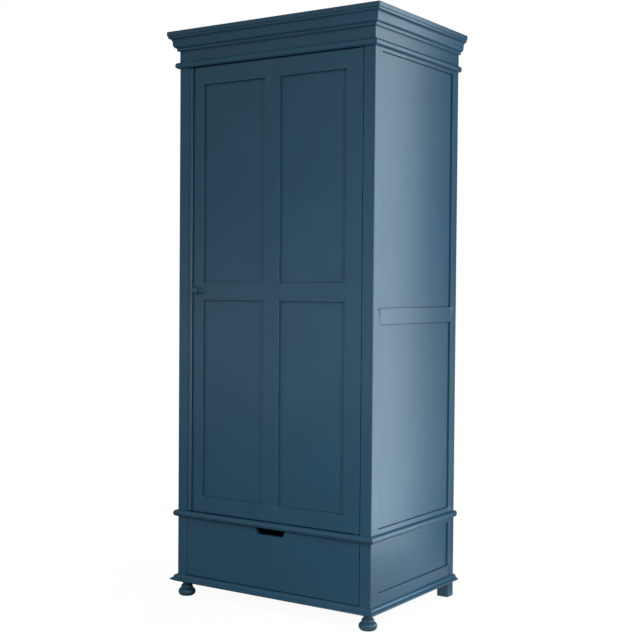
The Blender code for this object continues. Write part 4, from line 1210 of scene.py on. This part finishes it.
class MakeHangingSpace(Operator):
    """Makes the hat shelf on its bearers, and the hanging rail between them"""
    bl_idname = "wardrobe.make_hanging_space"
    bl_label = "Make Hanging Space"

    def execute(self, context):
        joinery = context.scene.wardrobe_joinery
        facets = context.scene.wardrobe_turnings.facets
        bearer_thickness = 0.030
        shelf_thickness = 0.018
        nose = 0.004
        low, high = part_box("hat_shelf")
        rail_low, rail_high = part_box("hanging_rail")
        rail_radius = (rail_high.z - rail_low.z) / 2
        centre = (rail_low + rail_high) / 2
        under = high.z - shelf_thickness
        inner_x = high.x - bearer_thickness
        shelf = board("pine_hat_shelf", (low.x, low.y, under), high)
        ease(shelf, nose, at(y=low.y, z=high.z), at(y=low.y, z=under), segments=5)
        finish_piece(shelf, "bare pine x z", "carcase", "hat_shelf")
        bearer = board("bearer", (inner_x, low.y, low.z), (high.x, high.y, under - TOUCH))
        ease(bearer, joinery.bare_arris, at(x=inner_x, z=low.z), at(x=inner_x, y=low.y))
        bore(bearer, (0, centre.y, centre.z), (rail_high.x + GAP, centre.y, centre.z), rail_radius + GAP,
             facets)
        for _, piece in both_sides(bearer, "pine_bearer"):
            finish_piece(piece, "bare pine y x", "carcase", "hat_shelf")
        rail = rod("beech_hanging_rail", (rail_low.x, centre.y, centre.z),
                   (rail_high.x, centre.y, centre.z), rail_radius, facets)
        ease(rail, joinery.bare_arris, at(x=rail_low.x), at(x=rail_high.x))
        finish_piece(rail, "waxed beech", "carcase", "hanging_rail")
        return {"FINISHED"}


class MakeBack(Operator):
    """Makes the two back panels and the screws that hold them"""
    bl_idname = "wardrobe.make_back"
    bl_label = "Make Back"

    def execute(self, context):
        arris = context.scene.wardrobe_joinery.arris
        head_height = 0.0003            # of the screws, over the panel
        screw_inset = 0.006
        screw_spacing = 0.15
        for node in ("back_panel", "base_back_panel"):
            low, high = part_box(node)
            panel = board(f"pine_{node}", low, (high.x, high.y - head_height, high.z))
            ease_all(panel, arris / 4, 2)
            finish_piece(panel, "bare pine z y", "carcase", node)
            places = []
            rows = round((high.z - low.z) / screw_spacing)
            for row in range(rows + 1):
                height = low.z + screw_inset + (high.z - low.z - 2 * screw_inset) * row / rows
                places += [(side * (high.x - screw_inset), high.y, height) for side in (-1, 1)]
            self.screws(f"zinc_screws_{node}", places)
        return {"FINISHED"}

    def screws(self, name, places):
        """Countersunk screw heads with a cross recess, flush with the back of the posts."""
        radius, depth, facets = 0.0035, 0.0012, 20
        slot_length, slot_width = 0.0042, 0.0008
        first = Vector(places[0])
        screw = rod(name, first - Vector((0, depth, 0)), first, radius, facets)
        ease(screw, depth / 4, at(y=first.y), segments=2)
        for width, height in ((slot_length, slot_width), (slot_width, slot_length)):
            half = Vector((width, depth, height)) / 2
            plough(screw, first - half, first + half)
        copies = [screw]
        for place in places[1:]:
            select_only(screw)
            bpy.ops.object.duplicate()
            bpy.ops.transform.translate(value=Vector(place) - first)
            bpy.ops.object.transform_apply(location=True, rotation=True, scale=True)
            copies.append(bpy.context.object)
        select_only(screw)
        for copy in copies:
            copy.select_set(True)
        bpy.ops.object.join()
        finish_piece(screw, "zinc plate", "carcase")


class MakeCatch(Operator):
    """Makes the magnetic catch inside the left post and its plate on the back of the door"""
    bl_idname = "wardrobe.make_catch"
    bl_label = "Make Catch"

    def execute(self, context):
        middle_z = (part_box("door_knob")[0].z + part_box("door_knob")[1].z) / 2
        self.stop_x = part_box("post_front_left")[1].x
        self.catch(middle_z)
        self.plate(middle_z)
        return {"FINISHED"}

    def catch(self, middle_z):
        """The plastic case on the post, with two shallow recesses and a pair of poles."""
        height, width, arris = 0.042, 0.013, 0.0012
        plate_space = 0.0009
        recess_inset, recess_depth, recess_half = 0.002, 0.0006, 0.0045
        pole_inset, pole_sunk, pole_depth, pole_arris = 0.0035, 0.0002, 0.004, 0.0003
        low = Vector((self.stop_x + TOUCH, CLOSING_HIGH.y + plate_space + GAP, middle_z - height / 2))
        high = Vector((self.stop_x + width, POST_HIGH.y, middle_z + height / 2))
        case = board("nylon_door_catch", low, high)
        ease_all(case, arris)
        for side in (-1, 1):
            recess_z = middle_z + side * height / 5
            plough(case, (self.stop_x + recess_inset, low.y - GAP, recess_z - recess_half),
                   (high.x - recess_inset, low.y + recess_depth, recess_z + recess_half))
        finish_piece(case, "moulded plastic", "carcase")
        poles = board("zinc_catch_poles",
                      (self.stop_x + pole_inset, low.y + pole_sunk, middle_z - height / 3),
                      (high.x - pole_inset, low.y + pole_depth, middle_z + height / 3))
        ease_all(poles, pole_arris, 2)
        finish_piece(poles, "zinc plate", "carcase")

    def plate(self, middle_z):
        """The plate on the door that the poles hold."""
        height, width, thickness, corner = 0.038, 0.013, 0.0009, 0.002
        lead = 0.0005                   # how far the plate clears the door stop's inner edge
        start_x = self.stop_x + lead
        end_x = start_x + width
        ends = (middle_z - height / 2, middle_z + height / 2)
        plate = board("zinc_catch_plate", (start_x, CLOSING_HIGH.y + TOUCH, ends[0]),
                      (end_x, CLOSING_HIGH.y + thickness, ends[1]))
        ease(plate, corner, *[at(x=edge, z=end) for edge in (start_x, end_x) for end in ends], segments=4)
        finish_piece(plate, "zinc plate", "door")


class DressKept(Operator):
    """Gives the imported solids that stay, the drawer runners and the door pivots, their materials"""
    bl_idname = "wardrobe.dress_kept"
    bl_label = "Dress Kept Solids"

    def execute(self, context):
        kept = {
            "drawer_runner_left": "bare pine y x",
            "drawer_runner_right": "bare pine y x",
            "door_pivot_lower": "satin paint z",
            "door_pivot_upper": "satin paint z",
        }
        for node, finish in kept.items():
            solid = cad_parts[node]
            solid.data.materials.clear()
            solid.data.materials.append(bpy.data.materials[finish])
        return {"FINISHED"}


def white_when_seen(tree, mirrored):
    """A strength of one for the camera and through glass, and the mirrored value in gloss."""
    rays = add_node(tree, "LightPath").outputs
    gloss = add_node(tree, "Math", links={0: rays["Is Glossy Ray"], 1: mirrored}, operation="MULTIPLY")
    clear = add_node(
        tree, "Math", links={0: rays["Is Camera Ray"], 1: rays["Is Transmission Ray"]}, operation="MAXIMUM")
    return add_node(tree, "Math", links={0: clear, 1: gloss}, operation="MAXIMUM")


class SetStudio(Operator):
    """Sets up the white ground, the soft lamps and the camera"""
    bl_idname = "wardrobe.set_studio"
    bl_label = "Set Studio"

    def execute(self, context):
        studio = context.scene.wardrobe_studio
        context.scene.view_settings.view_transform = "Standard"
        self.ground(studio)
        self.world(context.scene, studio)
        lamps = (
            # name, place, the point it faces, width and height, power
            ("key_strip", (0.88, 0.0, 1.60), (0.40, 0.0, 1.60), (0.25, 2.1), studio.key_power),
            ("low_strip", (0.86, 0.0, 0.22), (0.40, 0.0, 0.22), (0.3, 0.33), studio.low_power),
            ("sheen_strip", (1.02, 0.76, 1.31), (0.40, -0.25, 1.31), (0.25, 2.58), studio.sheen_power),
            ("fill_softbox", (0.40, -1.50, 0.95), (0.0, -0.27, 0.95), (0.8, 0.7), studio.fill_power),
            ("raking_strip", (1.55, -0.80, 1.0), (0.10, -0.27, 1.0), (0.15, 1.7), studio.raking_power),
            ("front_sheen_softbox", (-1.28, -1.90, 0.85), (0.0, -0.27, 0.85), (1.2, 0.8),
             studio.front_sheen_power),
            ("back_softbox", (-0.90, 2.20, 1.20), (0.0, 0.30, 1.10), (1.6, 1.6), studio.back_power),
        )
        for lamp in lamps:
            self.softbox(*lamp)
        bpy.data.lights["sheen_strip"].color = linear("D5ECFA")[:3]     # cool, as from a window
        self.camera(context.scene, studio)
        return {"FINISHED"}

    def ground(self, studio):
        """A white floor with the wardrobe's soft shadow near its feet, and pure white further out.

        The camera sees it white. Gloss sees it dark but for two parts that the right side mirrors: the
        floor beside the base, and the floor further to the right.
        """
        floor_size = 60
        paper_roughness = 0.9
        near_radius, far_radius = 0.5, 2.0
        near_glow = 0.95
        beside_place = (0.85, 0.1, 0.0)
        beside_inner, beside_outer = 0.5, 1.0
        right_start, right_end = 1.1, 1.6
        right_share = 0.6
        start_clean()
        bpy.ops.mesh.primitive_plane_add(size=floor_size)
        floor = name_piece("studio_floor")
        tree, shader, place = new_finish("white studio paper")
        from_middle = add_node(tree, "VectorMath", links={0: place}, operation="LENGTH").outputs["Value"]
        glow = add_node(
            tree, "MapRange",
            {"From Min": near_radius, "From Max": far_radius, "To Min": near_glow, "To Max": 1.0},
            {"Value": from_middle}, interpolation_type="SMOOTHSTEP")
        from_beside = add_node(
            tree, "VectorMath", {1: beside_place}, {0: place}, operation="DISTANCE").outputs["Value"]
        beside = add_node(
            tree, "MapRange",
            {"From Min": beside_inner, "From Max": beside_outer, "To Min": studio.reflected_right,
             "To Max": studio.reflected}, {"Value": from_beside}, interpolation_type="SMOOTHSTEP")
        across = add_node(tree, "SeparateXYZ", links={0: place}).outputs["X"]
        further = add_node(
            tree, "MapRange",
            {"From Min": right_start, "From Max": right_end, "To Min": studio.reflected,
             "To Max": studio.reflected_right * right_share}, {"Value": across},
            interpolation_type="SMOOTHSTEP")
        mirrored = add_node(tree, "Math", links={0: beside, 1: further}, operation="MAXIMUM")
        bright = add_node(
            tree, "Math", links={0: glow, 1: white_when_seen(tree, mirrored)}, operation="MULTIPLY")
        wire(tree, shader,
             {"Base Color": linear("505050"), "Roughness": paper_roughness, "Specular IOR Level": 0.0,
              "Emission Color": linear("FFFFFF")}, {"Emission Strength": bright})
        floor.data.materials.append(bpy.data.materials["white studio paper"])

    def world(self, scene, studio):
        """White wherever the camera looks, and a soft light from the front and a little from the left."""
        room_way = (-0.35, -0.93, 0.0)
        world = bpy.data.worlds.new("studio")
        world.use_nodes = True
        scene.world = world
        tree = world.node_tree
        way = add_node(tree, "TexCoord").outputs["Generated"]
        facing = add_node(
            tree, "VectorMath", {1: room_way}, {0: way}, operation="DOT_PRODUCT").outputs["Value"]
        room = add_node(
            tree, "MapRange", {"From Min": 0.0, "To Min": 0.0, "To Max": studio.ambient}, {"Value": facing})
        diffuse = add_node(tree, "LightPath").outputs["Is Diffuse Ray"]
        lit = add_node(tree, "Math", links={0: room, 1: diffuse}, operation="MULTIPLY")
        mirrored = add_node(tree, "Value")
        mirrored.outputs[0].default_value = studio.reflected
        level = add_node(
            tree, "Math", links={0: lit, 1: white_when_seen(tree, mirrored)}, operation="MAXIMUM")
        wire(tree, tree.nodes["Background"], {"Color": linear("FFFFFF")}, {"Strength": level})

    def softbox(self, name, place, target, size, power):
        """Hangs up a flat lamp that the camera doesn't see."""
        way = Vector(target) - Vector(place)
        start_clean()
        turned = way.to_track_quat("-Z", "Y").to_euler()
        bpy.ops.object.light_add(type="AREA", location=place, rotation=turned)
        lamp = bpy.context.object
        lamp.name = name
        lamp.data.name = name
        lamp.data.shape = "RECTANGLE"
        lamp.data.size, lamp.data.size_y = size
        lamp.data.energy = power
        lamp.visible_camera = False

    def camera(self, scene, studio):
        """Sets up the camera that sees the wardrobe as the photograph does."""
        start_clean()
        aim = Euler((math.pi / 2 + studio.camera_pitch, 0, studio.camera_yaw)).to_matrix()
        aim = aim @ Matrix.Rotation(studio.camera_roll, 3, "Z")
        bpy.ops.object.camera_add(location=studio.camera_place, rotation=aim.to_euler())
        camera = bpy.context.object
        camera.name = "studio_camera"
        camera.data.sensor_width = 36
        camera.data.lens = studio.camera_lens
        scene.camera = camera


BUILD_STEPS = (
    MixFinishes, MakePosts, MakeSideFrames, MakeNosedBoards, MakeCornice, MakeBaseMouldings, MakeFeet,
    MakeDoorFrame, MakeDoorPanels, MakeKnob, MakeDrawer, MakeHangingSpace, MakeBack, MakeCatch, DressKept,
    SetStudio,
)
GROUPS = {
    "wardrobe_joinery": WardrobeJoinery,
    "wardrobe_mouldings": WardrobeMouldings,
    "wardrobe_turnings": WardrobeTurnings,
    "wardrobe_finishes": WardrobeFinishes,
    "wardrobe_studio": WardrobeStudio,
}


class WardrobePanel(Panel):
    """Lists the steps that make the wardrobe"""
    bl_idname = "VIEW3D_PT_wardrobe"
    bl_label = "Painted Wardrobe"
    bl_space_type = "VIEW_3D"
    bl_region_type = "UI"
    bl_category = "Wardrobe"

    def draw(self, context):
        for group, kind in GROUPS.items():
            box = self.layout.box()
            for name in kind.__annotations__:
                box.prop(getattr(context.scene, group), name)
        for step in BUILD_STEPS:
            self.layout.operator(step.bl_idname)


CLASSES = (*GROUPS.values(), *BUILD_STEPS, WardrobePanel)


def register():
    for kind in CLASSES:
        bpy.utils.register_class(kind)
    for name, kind in GROUPS.items():
        setattr(bpy.types.Scene, name, PointerProperty(type=kind))


def unregister():
    for name in GROUPS:
        delattr(bpy.types.Scene, name)
    for kind in reversed(CLASSES):
        bpy.utils.unregister_class(kind)


def main():
    register()
    for step in BUILD_STEPS:
        group, name = step.bl_idname.split(".")
        getattr(getattr(bpy.ops, group), name)()


if __name__ == "__main__":
    main()
